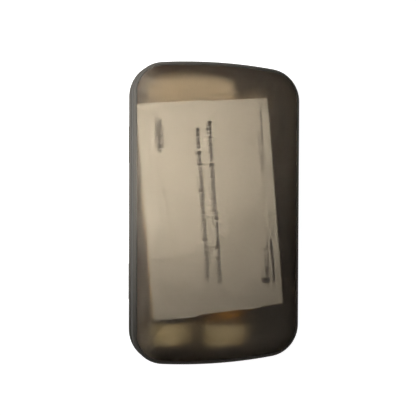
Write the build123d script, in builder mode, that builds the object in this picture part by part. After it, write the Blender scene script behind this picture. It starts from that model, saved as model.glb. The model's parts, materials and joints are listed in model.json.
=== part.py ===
"""Blood glucose monitoring kit: a smoked clear case with a hinged lid, a moulded tray, a meter, a
lancing device, two strip vials, spare lancets and a booklet held inside the lid.

Millimetres. X runs across the case with the hinge at -X, Y runs along it, Z is up. The origin is
the centre of the case's underside.
"""

import os
from math import radians, tan

from build123d import *

os.makedirs("parts", exist_ok=True)

# ---------------------------------------------------------------- the case
case_width = 115.6  # over the rim
case_length = 200.7  # over the rim, at the middle of the bowed ends
case_height = 42.0
split_height = 28.0  # top of the base's rim
seam_gap = 0.2  # between the base's rim and the lid's
end_bow = 4.9  # how far each end bulges past its corners
corner_radius = 22.5
rim_reach = 1.2  # how far the rims stand out past the walls
rim_thickness = 2.4
rim_inner = 2.4  # how far in the rims overlap the walls
rim_edge_radius = 0.6
wall = 1.5
base_draft = split_height * tan(radians(2.5))
lid_draft = (case_height - split_height) * tan(radians(0.5))
base_edge_radius = 5.0
lid_edge_radius = 3.0
ceiling_radius = 0.5
lip_height = 2.2  # the base's lip that locates the lid
lip_thickness = 0.7
lip_clearance = 0.2
rebate_height = 2.3  # the lid's room over the lip, from its own bottom face
thumb_notch_radius = 60.0
thumb_notch_depth = 1.0

past = 1.0  # how far a cut runs on past what it cuts
lid_bottom = split_height + seam_gap
lid_ceiling = case_height - wall

# ---------------------------------------------------------------- the hinge
knuckle_radius = 2.0
hinge_x = -case_width / 2 + knuckle_radius
hinge_z = split_height - knuckle_radius - 0.3
hinge_spacing = 90.0  # between the middles of the two hinges
lid_knuckle_length = 9.0
base_knuckle_length = 7.0
knuckle_gap = 0.3
pin_radius = 0.8
pin_clearance = 0.05
pin_length = 22.6
knuckle_block_width = 1.7 * knuckle_radius  # joins the lid's knuckle to its rim
knuckle_block_rise = 0.8  # how far up into the rim it runs
knuckle_web_overlap = 0.5  # of the base's knuckles into the pocket's back
hinge_half_length = lid_knuckle_length / 2 + knuckle_gap + base_knuckle_length
hinge_pocket_back = hinge_x + knuckle_radius + 0.4
hinge_pocket_floor = hinge_z - knuckle_radius - 0.7
hinge_boss = 1.8  # wall behind the pocket
hinge_boss_overlap = 2.0  # of the boss into the pocket, which then cuts it back
hinge_middles = [(hinge_x, -hinge_spacing / 2, hinge_z), (hinge_x, hinge_spacing / 2, hinge_z)]

# ---------------------------------------------------------------- the tray
sheet = 1.0
tray_top = 24.0
tray_clearance = 0.9  # to the base's wall
tray_inset = rim_reach + wall + tray_clearance
tray_skirt = 6.0
pocket_edge_radius = 3.0  # round the bottom of the meter's pocket
boss_clearance = 0.5  # of the tray's notches round the hinge bosses
boss_end_clearance = 0.6
notch_bottom = 10.0
notch_height = 20.0
tray_rim_radius = 0.6  # round the rims of the pockets

# ---------------------------------------------------------------- the meter
meter_x = -16.0
meter_y = 36.5
meter_width = 64.0
meter_length = 109.0
meter_side_bow = 1.6
meter_end_bow = 2.0
meter_corner = 14.0
meter_bottom = 13.0
meter_top = 35.0
meter_split = 24.0
meter_wall = 1.6
meter_front_edge = 4.0
meter_rear_edge = 5.0
meter_pocket_clearance = 0.8
post_radius = 3.0  # screw posts in the front case
post_hole_radius, post_hole_depth = 1.3, 7.0
boss_radius = 3.4  # screw bosses in the rear case
boss_recess = 0.8  # how far the bosses start above the underside
screw_bore_radius = 1.4
screw_head_radius, screw_head_depth = 2.6, 3.0
screw_head_seat = 1.2  # of the screws' heads above the underside
standoff_radius = 1.8
standoff_x, standoff_near_y, standoff_far_y = 26.5, 6.0, 30.0
ceiling = meter_top - meter_wall  # the inner face of the meter's front
floor = meter_bottom + meter_wall  # the inner face of its back
window_width = 52.0
window_length = 44.0
window_y = 12.0  # from the meter's middle
window_corner = 4.0
window_thickness = 0.9
window_border = 3.0
window_clearance = 0.05
window_opening_corner = 1.5
lcd_width, lcd_length, lcd_thickness = 48.0, 40.0, 1.6
lcd_bottom = 30.6
lcd_frame_reach = 1.0  # how far the frame stands out past the panel
lcd_frame_wall = 3.0
board_bottom = 26.0
board_thickness = 1.6
board_inset = 2.6
board_screw_clearance = 3.3  # radius of the board's cut-outs round the screw posts
button_proud = 0.9
button_clearance = 0.3
button_flange = 1.2
button_bottom = 31.6
button_seat = ceiling - 1.1  # underside of the flanges
button_flange_thickness = 1.0
button_edge_radius = 0.7
button_stem_radius = 2.6
ok_button_radius = 8.0
ok_button_y = -27.0
side_button_x = 20.5
side_button_y = -24.0
side_button_length = 13.0
side_button_width = 9.0
side_button_corner = 4.3
pad_width, pad_length, pad_y, pad_thickness = 54.0, 28.0, -25.0, 0.8
dome_height, dome_taper = 2.4, 1.2
ok_dome_radius, side_dome_radius = 4.6, 3.6
ejector_y = 40.3
ejector_length = 6.0
ejector_width = 14.0
ejector_travel = 3.5
ejector_proud = 1.2
ejector_edge_radius = 0.6
ejector_foot = 0.4  # how far the thumb piece runs down into the plate under the front
ejector_plate_width, ejector_plate_length, ejector_plate_thickness = 18.0, 12.5, 1.2
ejector_plate_y = 0.6
ejector_plate_seat = ceiling - 1.4
ejector_rib_pitch, ejector_rib_width, ejector_rib_length, ejector_rib_depth = 1.6, 0.7, 10.0, 0.4
port_width = 18.0
port_bottom = 25.2
port_height = 6.0
port_clearance = 0.05
bezel_proud, bezel_depth = 0.5, 2.6
bezel_mouth_width, bezel_mouth_height, bezel_mouth_depth = 11.5, 3.0, 1.6
strip_gap_width, strip_gap_height = 9.0, 2.0
connector_y, connector_width, connector_length, connector_height = 47.5, 12.0, 8.0, 4.0
connector_gap_width, connector_gap_length, connector_gap_height = 8.4, 6.0, 1.2
strip_slot_z = 29.4
door_width = 34.0
door_top_y = 4.0
door_clearance = 0.2
door_side_height = 5.5
tongue_width, tongue_reach, tongue_thickness = 20.0, 4.0, 1.1
tongue_gap = 0.2  # between the tongue and the rear case's floor
tongue_root, tongue_root_rise = 1.2, 0.2
grip_y, grip_count, grip_pitch = -42.0, 5, 2.2
grip_width, grip_length, grip_depth = 16.0, 1.0, 0.8
battery_radius = 5.2
battery_length = 43.5  # without the pip
battery_y = -26.2
battery_z = 20.15
battery_gap = 1.0  # between the two
battery_pip_radius, battery_pip_length = 1.9, 0.65
battery_rib_y, battery_rib_thickness, battery_rib_width, battery_rib_rise = -2.2, 1.6, 62.4, 1.8
end_rib_y, end_rib_thickness, end_rib_width, end_rib_rise = -50.4, 1.2, 48.0, 0.4
contact_thickness = 0.4
bridge_contact_y, bridge_contact_width, bridge_contact_height, bridge_contact_rise = -3.2, 21.0, 6.4, 2.6
end_contact_y, end_contact_width, end_contact_height, end_contact_rise = -49.6, 8.0, 4.4, 0.8
contact_spring_y, contact_spring_radius, contact_spring_length = -49.0, 1.6, 0.8
screw_x = 22.0
screw_y = 43.0
screw_shank_radius, screw_shank_length = 1.2, 15.0
screw_cap_radius, screw_cap_height = 2.3, 1.8
screw_cross_length, screw_cross_width, screw_cross_depth = 2.6, 0.5, 0.6
finger_well_width = 35.0
finger_well_length = 13.0
finger_well_overlap = 4.0  # how far it runs in under the meter's end
finger_well_floor = 8.0

# ---------------------------------------------------------------- the lancing device
lance_x = 31.0
lance_z = 16.0
lance_radius = 11.0
lance_trough_radius = 11.4
lance_trough_start = -27.0
lance_trough_end = 90.3
trigger_y = 22.0
trigger_length = 15.0
trigger_width = 7.5
trigger_clearance = 0.25
trigger_bottom, trigger_height = 6.0, 6.4  # from the device's axis
trigger_edge_radius = 1.0
trigger_flange_width, trigger_flange_length, trigger_flange_thickness = 9.6, 18.0, 1.2
trigger_flange_bottom = 5.5
barrel_start, barrel_end = -3.0, 52.0  # the grip's length along the case
barrel_edge, barrel_end_radius = 0.8, 10.4
barrel_end_wall = 2.0
tail_wall = 1.6
barrel_bore = 8.6
neck_end, neck_radius, neck_bore = 66.5, 8.6, 7.2  # the neck that carries the dial and the cap
tail_end, tail_radius, tail_bore = -14.0, 6.4, 5.2  # the tube that the sleeve slides over
tail_wall_bore = 2.8  # the spring's end wall
dial_start, dial_end, dial_radius, dial_bore = 52.2, 60.0, 11.0, 8.8
dial_flute_count, dial_flute_radius, dial_flute_length, dial_flute_reach = 20, 0.8, 6.2, 0.3
dial_flute_middle = 55.2
cap_start, cap_shoulder, cap_nose = 60.3, 68.0, 82.5
cap_radius, cap_bore, cap_wall = 10.8, 8.8, 1.6
cap_nose_radius, cap_mouth = 8.4, 2.6
sleeve_start, sleeve_end, sleeve_radius, sleeve_bore = -20.0, -3.2, 10.6, 6.7
sleeve_edge = 1.2
sleeve_floor = 2.2
sleeve_grooves, sleeve_groove_width, sleeve_groove_radius = (-15.0, -11.0, -7.0), 1.3, 9.9
carriage_start = -17.7
rod_end, rod_radius = 8.0, 2.4
carriage_end, carriage_radius = 44.0, 4.4
holder_start, holder_end, holder_radius, holder_bore = 50.0, 66.0, 5.0, 3.15
spring_start, spring_length, spring_radius, spring_wire_radius = -1.0, 8.5, 3.5, 0.3
spring_turns = 5
lancet_start, lancet_end, lancet_shoulder, loaded_lancet_radius = 50.1, 69.0, 71.0, 3.05
lancet_collar_radius = 1.2
needle_end, needle_radius, needle_tip_radius = 77.5, 0.3, 0.12

# ---------------------------------------------------------------- the strip vials
vial_trough_clearance = 0.4
vial_cap_radius = 17.0
vial_cap_length = 14.2
vial_radius = 15.0
vial_length = 55.0  # cap included
vial_wall = 1.4
vial_edge = 0.8
vial_neck_step, vial_neck_wall = 0.8, 1.2
vial_neck_start = 4.0  # from the cap's end
vial_shoulder_gap = 0.3
cap_end_wall, cap_edge, cap_neck_clearance = 1.8, 1.0, 0.3
cap_rib_count, cap_rib_radius, cap_rib_inset = 24, 0.7, 0.2
cap_rib_margin = 3.0  # bare end of the cap
cap_rib_end = 1.0
vial_z = wall + sheet + vial_cap_radius + vial_trough_clearance
left_vial_x, left_vial_end = -30.8, -86.2
right_vial_x, right_vial_end = 8.2, -88.9
label_thickness = 0.12
label_start = 3.2  # bare ring of the body between the cap and the label
label_end = 3.0
liner_wall, liner_gap = 1.2, 0.1
strip_count, strip_pitch = 8, 0.9
strip_width, strip_length, strip_thickness = 7.0, 33.0, 0.5
strip_rise = 1.9  # of the lowest strip above the liner's bottom
vial_gap_y, vial_gap_length, vial_gap_floor = -55.0, 16.0, 12.0  # finger room between the vials
vial_gap_overlap = 12.0

# ---------------------------------------------------------------- the spare lancets
lancet_pocket_x, lancet_pocket_y = 39.5, -57.0
lancet_pocket_width, lancet_pocket_length = 21.0, 45.0
lancet_pocket_floor = 13.0
lancet_radius = 3.1
lancet_length = 13.0
lancet_count = 6
lancet_pitch = 7.2
lancet_rest = 3.1  # of their axes above the pocket's floor
lancet_middle = -3.65  # of their bodies from the pocket's middle
lancet_wing_length, lancet_wing_width, lancet_wing_thickness = 9.0, 6.8, 1.2
lancet_cap_neck_radius, lancet_cap_neck_length = 1.4, 2.6
lancet_cap_radius, lancet_cap_thickness = 3.0, 2.2
lancet_tip_gap = 0.05
lancet_cap_reach = 4.25  # from the body's end to the twist-off disc's middle

# ---------------------------------------------------------------- the booklet
booklet_width = 88.2
booklet_length = 138.6
booklet_x, booklet_y = -4.8, 4.05
booklet_turn = 5.0  # degrees, anticlockwise seen from above
booklet_thickness = 1.6
booklet_corner = 1.0
cover_thickness = 0.3
page_side_margin, page_end_margin = 0.4, 0.6  # how far the pages stay inside the cover's edges
page_corner = 1.2
staple_x, staple_length, staple_thickness, staple_height = 22.0, 12.0, 0.4, 0.5
tape_thickness = 0.25
tape_width, tape_length = 16.1, 23.3
tape_x, tape_y = -37.7, -0.8  # on the booklet
leaflet_width, leaflet_length = 88.0, 128.0  # folded
leaflet_x, leaflet_y = -1.1, -4.6  # on the booklet
leaflet_turn = -0.9  # degrees, from the booklet
leaflet_thickness = 0.6
leaflet_ply = 0.2
booklet_top = lid_ceiling - tape_thickness


# ================================================================ shared forms
def case_outline(inset):
    """The case seen from above, drawn in from its rim: straight sides, bowed ends, round corners."""
    half_width = case_width / 2 - inset
    half_length = case_length / 2 - inset
    corner_y = half_length - end_bow * (2 * half_width / case_width) ** 2
    with BuildSketch(mode=Mode.PRIVATE) as outline:
        with BuildLine():
            ThreePointArc((-half_width, corner_y), (0, half_length), (half_width, corner_y))
            Line((half_width, corner_y), (half_width, -corner_y))
            ThreePointArc((half_width, -corner_y), (0, -half_length), (-half_width, -corner_y))
            Line((-half_width, -corner_y), (-half_width, corner_y))
        make_face()
        fillet(outline.vertices(), corner_radius - inset)
    return outline.sketch


def case_section(height, outer_inset, inner_inset=None):
    """A level section of the case, solid or a ring."""
    with BuildSketch(mode=Mode.PRIVATE) as section:
        add(case_outline(outer_inset))
        if inner_inset is not None:
            add(case_outline(inner_inset), mode=Mode.SUBTRACT)
    return Pos(0, 0, height) * section.sketch


def case_block(low, low_inset, high, high_inset, round_low=0, round_high=0):
    """A solid of the case's outline from one height and inset to another, its end edges rounded."""
    with BuildPart(mode=Mode.PRIVATE) as block:
        loft([case_section(low, low_inset), case_section(high, high_inset)])
        if round_low:
            fillet(block.faces().sort_by(Axis.Z)[0].edges(), round_low)
        if round_high:
            fillet(block.faces().sort_by(Axis.Z)[-1].edges(), round_high)
    return block.part


def case_rim(bottom, rounded_side):
    """The rim round the split, its outer edge rounded on the side away from the split."""
    with BuildPart(mode=Mode.PRIVATE) as rim:
        extrude(case_section(bottom, 0, rim_inner), amount=rim_thickness)
        fillet(rim.faces().sort_by(Axis.Z)[rounded_side].outer_wire().edges(), rim_edge_radius)
    return rim.part


def meter_outline(grow):
    """The meter seen from above about its own middle, grown by a distance: bowed sides and ends."""
    side_x = meter_width / 2 + grow
    end_y = meter_length / 2 + grow
    corner_x = side_x - meter_side_bow
    corner_y = end_y - meter_end_bow
    with BuildSketch(mode=Mode.PRIVATE) as outline:
        with BuildLine():
            ThreePointArc((-corner_x, corner_y), (0, end_y), (corner_x, corner_y))
            ThreePointArc((corner_x, corner_y), (side_x, 0), (corner_x, -corner_y))
            ThreePointArc((corner_x, -corner_y), (0, -end_y), (-corner_x, -corner_y))
            ThreePointArc((-corner_x, -corner_y), (-side_x, 0), (-corner_x, corner_y))
        make_face()
        fillet(outline.vertices(), meter_corner + grow)
    return outline.sketch


def meter_block(low, high, grow, round_low=0, round_high=0):
    """A solid of the meter's outline between two heights, its end edges rounded."""
    with BuildPart(mode=Mode.PRIVATE) as block:
        extrude(Pos(meter_x, meter_y, low) * meter_outline(grow), amount=high - low)
        if round_low:
            fillet(block.faces().sort_by(Axis.Z)[0].edges(), round_low)
        if round_high:
            fillet(block.faces().sort_by(Axis.Z)[-1].edges(), round_high)
    return block.part


def meter_rear_shell():
    """The meter's rear half as one hollow shell, before the battery door is parted from it."""
    with BuildPart(mode=Mode.PRIVATE) as shell:
        add(meter_block(meter_bottom, meter_split, 0, round_low=meter_rear_edge))
        inside = meter_block(
            meter_bottom + meter_wall,
            meter_split + past,
            -meter_wall,
            round_low=meter_rear_edge - meter_wall,
        )
        add(inside, mode=Mode.SUBTRACT)
    return shell.part


def on_meter(x, y, z):
    """A place given from the meter's middle and the case's underside."""
    return Location((meter_x + x, meter_y + y, z))


def turned(x, z, points, mode=Mode.ADD):
    """Turns a closed profile of (y, radius) points about the lengthwise axis at x, z."""
    plane = Plane(origin=(x, 0, z), x_dir=(0, 1, 0), z_dir=(1, 0, 0))
    with BuildSketch(plane, mode=Mode.PRIVATE) as profile:
        with BuildLine():
            Polyline(*points, close=True)
        make_face()
    revolve(profile.sketch, axis=Axis((x, 0, z), (0, 1, 0)), mode=mode)


def lengthwise_trough(x, z, radius, start, end):
    """A U-shaped hollow along Y: half round below z and straight up to above the tray."""
    turned(x, z, [(start, 0), (start, radius), (end, radius), (end, 0)])
    with Locations((x, (start + end) / 2, z)):
        Box(2 * radius, end - start, tray_top + 2 * past - z, align=(Align.CENTER, Align.CENTER, Align.MIN))


def tray_hollows(grow):
    """Every pocket of the tray, grown by a distance: once by the sheet for its outside, once by nothing."""
    with BuildPart() as hollows:
        meter_pocket = meter_block(
            meter_bottom - grow,
            tray_top + 2 * past,
            meter_pocket_clearance + grow,
            round_low=pocket_edge_radius + grow,
        )
        add(meter_pocket)
        well_y = meter_y - meter_length / 2 - finger_well_length / 2 + finger_well_overlap
        with Locations((meter_x, well_y, finger_well_floor - grow)):
            Box(
                finger_well_width + 2 * grow,
                finger_well_length + 2 * grow,
                tray_top + 2 * past - finger_well_floor + grow,
                align=(Align.CENTER, Align.CENTER, Align.MIN),
            )
        for x, end in ((left_vial_x, left_vial_end), (right_vial_x, right_vial_end)):
            body = vial_radius + vial_trough_clearance + grow
            cap = vial_cap_radius + vial_trough_clearance + grow
            low = end - vial_trough_clearance - grow
            shoulder = end + vial_cap_length + vial_trough_clearance + grow
            high = end + vial_length + vial_trough_clearance + grow
            lengthwise_trough(x, vial_z, body, low, high)
            lengthwise_trough(x, vial_z, cap, low, shoulder)
        with Locations(((left_vial_x + right_vial_x) / 2, vial_gap_y, vial_gap_floor - grow)):
            Box(
                right_vial_x - left_vial_x - 2 * vial_gap_overlap,
                vial_gap_length + 2 * grow,
                tray_top + 2 * past - vial_gap_floor + grow,
                align=(Align.CENTER, Align.CENTER, Align.MIN),
            )
        lengthwise_trough(
            lance_x,
            lance_z,
            lance_trough_radius + grow,
            lance_trough_start - grow,
            lance_trough_end + grow,
        )
        with Locations((lancet_pocket_x, lancet_pocket_y, lancet_pocket_floor - grow)):
            Box(
                lancet_pocket_width + 2 * grow,
                lancet_pocket_length + 2 * grow,
                tray_top + 2 * past - lancet_pocket_floor + grow,
                align=(Align.CENTER, Align.CENTER, Align.MIN),
            )
    return hollows.part


def side_button_outline(grow):
    """A side button of the meter seen from above."""
    with BuildSketch(mode=Mode.PRIVATE) as outline:
        RectangleRounded(
            side_button_width + 2 * grow, side_button_length + 2 * grow, side_button_corner + grow
        )
    return outline.sketch


def ok_button_outline(grow):
    """The meter's round button seen from above."""
    with BuildSketch(mode=Mode.PRIVATE) as outline:
        Circle(ok_button_radius + grow)
    return outline.sketch


def button_head(outline, x, y):
    """The part of a button that is seen: a straight column through the front, its top edge rounded."""
    with BuildPart() as head:
        extrude(on_meter(x, y, button_seat) * outline(0), amount=meter_top + button_proud - button_seat)
        fillet(head.faces().sort_by(Axis.Z)[-1].edges(), button_edge_radius)
    return head.part


def meter_button(outline, x, y):
    """A button: a rounded top, a flange that stays under the front, and a stem that meets the pad."""
    head = button_head(outline, x, y)
    with BuildPart() as button:
        add(head)
        extrude(on_meter(x, y, button_seat) * outline(button_flange), amount=button_flange_thickness)
        with Locations(on_meter(x, y, button_bottom)):
            Cylinder(
                button_stem_radius,
                button_seat - button_bottom,
                align=(Align.CENTER, Align.CENTER, Align.MIN),
            )
    return button.part


def vial_parts(x, end):
    """One strip vial lying along Y with its cap towards -Y: body, cap, label, liner and strips."""
    cap_shoulder_y = end + vial_cap_length
    shoulder = cap_shoulder_y + vial_shoulder_gap
    tail = end + vial_length
    neck = vial_radius - vial_neck_step
    bore = vial_radius - vial_wall
    label_radius = vial_radius + label_thickness
    with BuildPart() as body:
        turned(
            x,
            vial_z,
            [
                (end + vial_neck_start, neck - vial_neck_wall),
                (end + vial_neck_start, neck),
                (shoulder, neck),
                (shoulder, vial_radius),
                (tail - vial_edge, vial_radius),
                (tail, vial_radius - vial_edge),
                (tail, 0),
                (tail - vial_wall, 0),
                (tail - vial_wall, bore),
                (shoulder + vial_neck_wall, bore),
                (shoulder + vial_neck_wall, neck - vial_neck_wall),
            ],
        )
    with BuildPart() as cap:
        turned(
            x,
            vial_z,
            [
                (end, 0),
                (end, vial_cap_radius - cap_edge),
                (end + cap_edge, vial_cap_radius),
                (cap_shoulder_y, vial_cap_radius),
                (cap_shoulder_y, neck + cap_neck_clearance),
                (end + cap_end_wall, neck + cap_neck_clearance),
                (end + cap_end_wall, 0),
            ],
        )
        rib_length = vial_cap_length - cap_rib_margin - cap_rib_end
        rib_middle = end + cap_rib_margin + rib_length / 2
        with Locations(Plane(origin=(x, rib_middle, vial_z), x_dir=(1, 0, 0), z_dir=(0, 1, 0))):
            with PolarLocations(vial_cap_radius + cap_rib_inset, cap_rib_count):
                Cylinder(cap_rib_radius, rib_length, mode=Mode.SUBTRACT)
    with BuildPart() as label:
        turned(
            x,
            vial_z,
            [
                (shoulder + label_start, vial_radius),
                (shoulder + label_start, label_radius),
                (tail - label_end, label_radius),
                (tail - label_end, vial_radius),
            ],
        )
    with BuildPart() as liner:
        turned(
            x,
            vial_z,
            [
                (shoulder + vial_neck_wall + liner_gap, bore - liner_wall),
                (shoulder + vial_neck_wall + liner_gap, bore),
                (tail - vial_wall, bore),
                (tail - vial_wall, bore - liner_wall),
            ],
        )
    with BuildPart() as strips:
        for index in range(strip_count):
            with Locations((x, tail - vial_wall, vial_z - bore + strip_rise + index * strip_pitch)):
                Box(
                    strip_width,
                    strip_length,
                    strip_thickness,
                    align=(Align.CENTER, Align.MAX, Align.MIN),
                )
    return body.part, cap.part, label.part, liner.part, strips.part


# ================================================================ case base
with BuildPart() as case_base:
    add(case_block(0, rim_reach + base_draft, split_height, rim_reach, round_low=base_edge_radius))
    add(case_rim(split_height - rim_thickness, 0))
    # behind the wall's face the hinge side has no rim, so the lid's rim can swing down past it
    with Locations((-case_width / 2 + rim_reach, 0, split_height - rim_thickness - past)):
        Box(
            2 * rim_inner,
            case_length,
            rim_thickness + 2 * past,
            align=(Align.MAX, Align.CENTER, Align.MIN),
            mode=Mode.SUBTRACT,
        )
    extrude(
        case_section(split_height - past, rim_reach + wall - lip_thickness, rim_reach + wall),
        amount=lip_height + past,
    )
    base_inside = case_block(
        wall,
        rim_reach + wall + base_draft * (1 - wall / split_height),
        split_height,
        rim_reach + wall,
        round_low=base_edge_radius - wall,
    )
    add(base_inside, mode=Mode.SUBTRACT)
    extrude(
        case_section(split_height - past, rim_reach + wall),
        amount=lip_height + 2 * past,
        mode=Mode.SUBTRACT,
    )
    # hinge pockets: a boss inside the wall, the recess, then two knuckles with their webs
    boss_bottom = hinge_pocket_floor - hinge_boss
    with Locations(*hinge_middles):
        with Locations((hinge_pocket_back - hinge_x + hinge_boss, 0, boss_bottom - hinge_z)):
            Box(
                hinge_boss + hinge_boss_overlap,
                2 * hinge_half_length + 2 * hinge_boss,
                split_height - boss_bottom,
                align=(Align.MAX, Align.CENTER, Align.MIN),
            )
    with Locations(*hinge_middles):
        with Locations((hinge_pocket_back - hinge_x, 0, hinge_pocket_floor - hinge_z)):
            Box(
                2 * knuckle_radius + 2 * past,
                2 * hinge_half_length,
                case_height - hinge_pocket_floor,
                align=(Align.MAX, Align.CENTER, Align.MIN),
                mode=Mode.SUBTRACT,
            )
    knuckle_y = lid_knuckle_length / 2 + knuckle_gap + base_knuckle_length / 2
    with Locations(*hinge_middles):
        with Locations((0, knuckle_y, 0), (0, -knuckle_y, 0)):
            Cylinder(knuckle_radius, base_knuckle_length, rotation=(90, 0, 0))
            Box(
                hinge_pocket_back - hinge_x + knuckle_web_overlap,
                base_knuckle_length,
                2 * knuckle_radius,
                align=(Align.MIN, Align.CENTER, Align.CENTER),
            )
    with Locations(*hinge_middles):
        Cylinder(
            pin_radius + pin_clearance, 2 * hinge_half_length, rotation=(90, 0, 0), mode=Mode.SUBTRACT
        )
    # scallop in the front rim for a thumb to lift the lid
    notch_x = case_width / 2 + thumb_notch_radius - thumb_notch_depth
    with Locations((notch_x, 0, split_height - rim_thickness)):
        Cylinder(
            thumb_notch_radius,
            2 * rim_thickness,
            align=(Align.CENTER, Align.CENTER, Align.CENTER),
            mode=Mode.SUBTRACT,
        )
case_base.part.label = "case_base"

# ================================================================ case lid
with BuildPart() as case_lid:
    add(case_block(lid_bottom, rim_reach, case_height, rim_reach + lid_draft, round_high=lid_edge_radius))
    add(case_rim(lid_bottom, -1))
    lid_inside = case_block(
        lid_bottom,
        rim_reach + wall,
        lid_ceiling,
        rim_reach + wall + lid_draft,
        round_high=ceiling_radius,
    )
    add(lid_inside, mode=Mode.SUBTRACT)
    # rebate over the base's lip
    extrude(
        case_section(lid_bottom - past, rim_reach + wall - lip_thickness - lip_clearance),
        amount=rebate_height + past,
        mode=Mode.SUBTRACT,
    )
    # one knuckle a hinge, hung from the rim
    with Locations(*hinge_middles):
        Cylinder(knuckle_radius, lid_knuckle_length, rotation=(90, 0, 0))
        Box(
            knuckle_block_width,
            lid_knuckle_length,
            lid_bottom - hinge_z + knuckle_block_rise,
            align=(Align.CENTER, Align.CENTER, Align.MIN),
        )
    with Locations(*hinge_middles):
        Cylinder(
            pin_radius + pin_clearance,
            lid_knuckle_length + past,
            rotation=(90, 0, 0),
            mode=Mode.SUBTRACT,
        )
case_lid.part.label = "case_lid"

# ================================================================ hinge pins
with BuildPart() as hinge_pins:
    with Locations(*hinge_middles):
        Cylinder(pin_radius, pin_length, rotation=(90, 0, 0))
hinge_pins.part.label = "hinge_pins"

# ================================================================ tray
with BuildPart() as tray:
    extrude(case_section(tray_top - sheet, tray_inset), amount=sheet)
    extrude(case_section(tray_top - tray_skirt, tray_inset, tray_inset + sheet), amount=tray_skirt)
    add(tray_hollows(sheet))
    with Locations((0, 0, tray_top)):
        Box(
            case_width,
            case_length,
            case_height,
            align=(Align.CENTER, Align.CENTER, Align.MIN),
            mode=Mode.SUBTRACT,
        )
    add(tray_hollows(0), mode=Mode.SUBTRACT)
    # notches round the hinge bosses
    boss_front = hinge_pocket_back - hinge_x + hinge_boss + boss_clearance
    with Locations(*hinge_middles):
        with Locations((boss_front, 0, notch_bottom - hinge_z)):
            Box(
                case_width / 2 + hinge_x + knuckle_radius + hinge_boss + 2 * past,
                2 * (hinge_half_length + hinge_boss + boss_end_clearance),
                notch_height,
                align=(Align.MAX, Align.CENTER, Align.MIN),
                mode=Mode.SUBTRACT,
            )
    top_face = tray.faces().filter_by(Axis.Z).sort_by(Axis.Z)[-1]
    fillet([edge for rim in top_face.inner_wires() for edge in rim.edges()], tray_rim_radius)
tray.part.label = "tray"

# ================================================================ meter: the two halves of its case
screw_places = [(x, y) for x in (-screw_x, screw_x) for y in (-screw_y, screw_y)]
with BuildPart() as meter_front_case:
    add(meter_block(meter_split, meter_top, 0, round_high=meter_front_edge))
    front_inside = meter_block(
        meter_split - past, ceiling, -meter_wall, round_high=meter_front_edge - meter_wall
    )
    add(front_inside, mode=Mode.SUBTRACT)
    # window seat and the opening through it
    with BuildSketch(Plane(on_meter(0, window_y, meter_top - window_thickness))):
        RectangleRounded(
            window_width + 2 * window_clearance, window_length + 2 * window_clearance, window_corner
        )
    extrude(amount=window_thickness, mode=Mode.SUBTRACT)
    with BuildSketch(Plane(on_meter(0, window_y, ceiling - past))):
        RectangleRounded(
            window_width - 2 * window_border, window_length - 2 * window_border, window_opening_corner
        )
    extrude(amount=meter_wall + 2 * past, mode=Mode.SUBTRACT)
    # holes for the buttons, the ejector's slot and the strip port
    extrude(
        on_meter(0, ok_button_y, ceiling - past) * ok_button_outline(button_clearance),
        amount=meter_wall + 2 * past,
        mode=Mode.SUBTRACT,
    )
    for x in (-side_button_x, side_button_x):
        hole = on_meter(x, side_button_y, ceiling - past) * side_button_outline(button_clearance)
        extrude(hole, amount=meter_wall + 2 * past, mode=Mode.SUBTRACT)
    with Locations(on_meter(0, ejector_y + ejector_travel / 2, ceiling - past)):
        Box(
            ejector_width + 2 * button_clearance,
            ejector_length + ejector_travel + 2 * button_clearance,
            meter_wall + 2 * past,
            align=(Align.CENTER, Align.CENTER, Align.MIN),
            mode=Mode.SUBTRACT,
        )
    with Locations(on_meter(0, meter_length / 2, port_bottom - port_clearance)):
        Box(
            port_width + 2 * port_clearance,
            2 * bezel_depth + past,
            port_height + 2 * port_clearance,
            align=(Align.CENTER, Align.CENTER, Align.MIN),
            mode=Mode.SUBTRACT,
        )
    for x, y in screw_places:
        with Locations(on_meter(x, y, meter_split)):
            Cylinder(
                post_radius,
                ceiling - meter_split + meter_wall / 2,
                align=(Align.CENTER, Align.CENTER, Align.MIN),
            )
        with Locations(on_meter(x, y, meter_split)):
            Cylinder(
                post_hole_radius,
                post_hole_depth,
                align=(Align.CENTER, Align.CENTER, Align.MIN),
                mode=Mode.SUBTRACT,
            )
meter_front_case.part.label = "meter_front_case"

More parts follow.
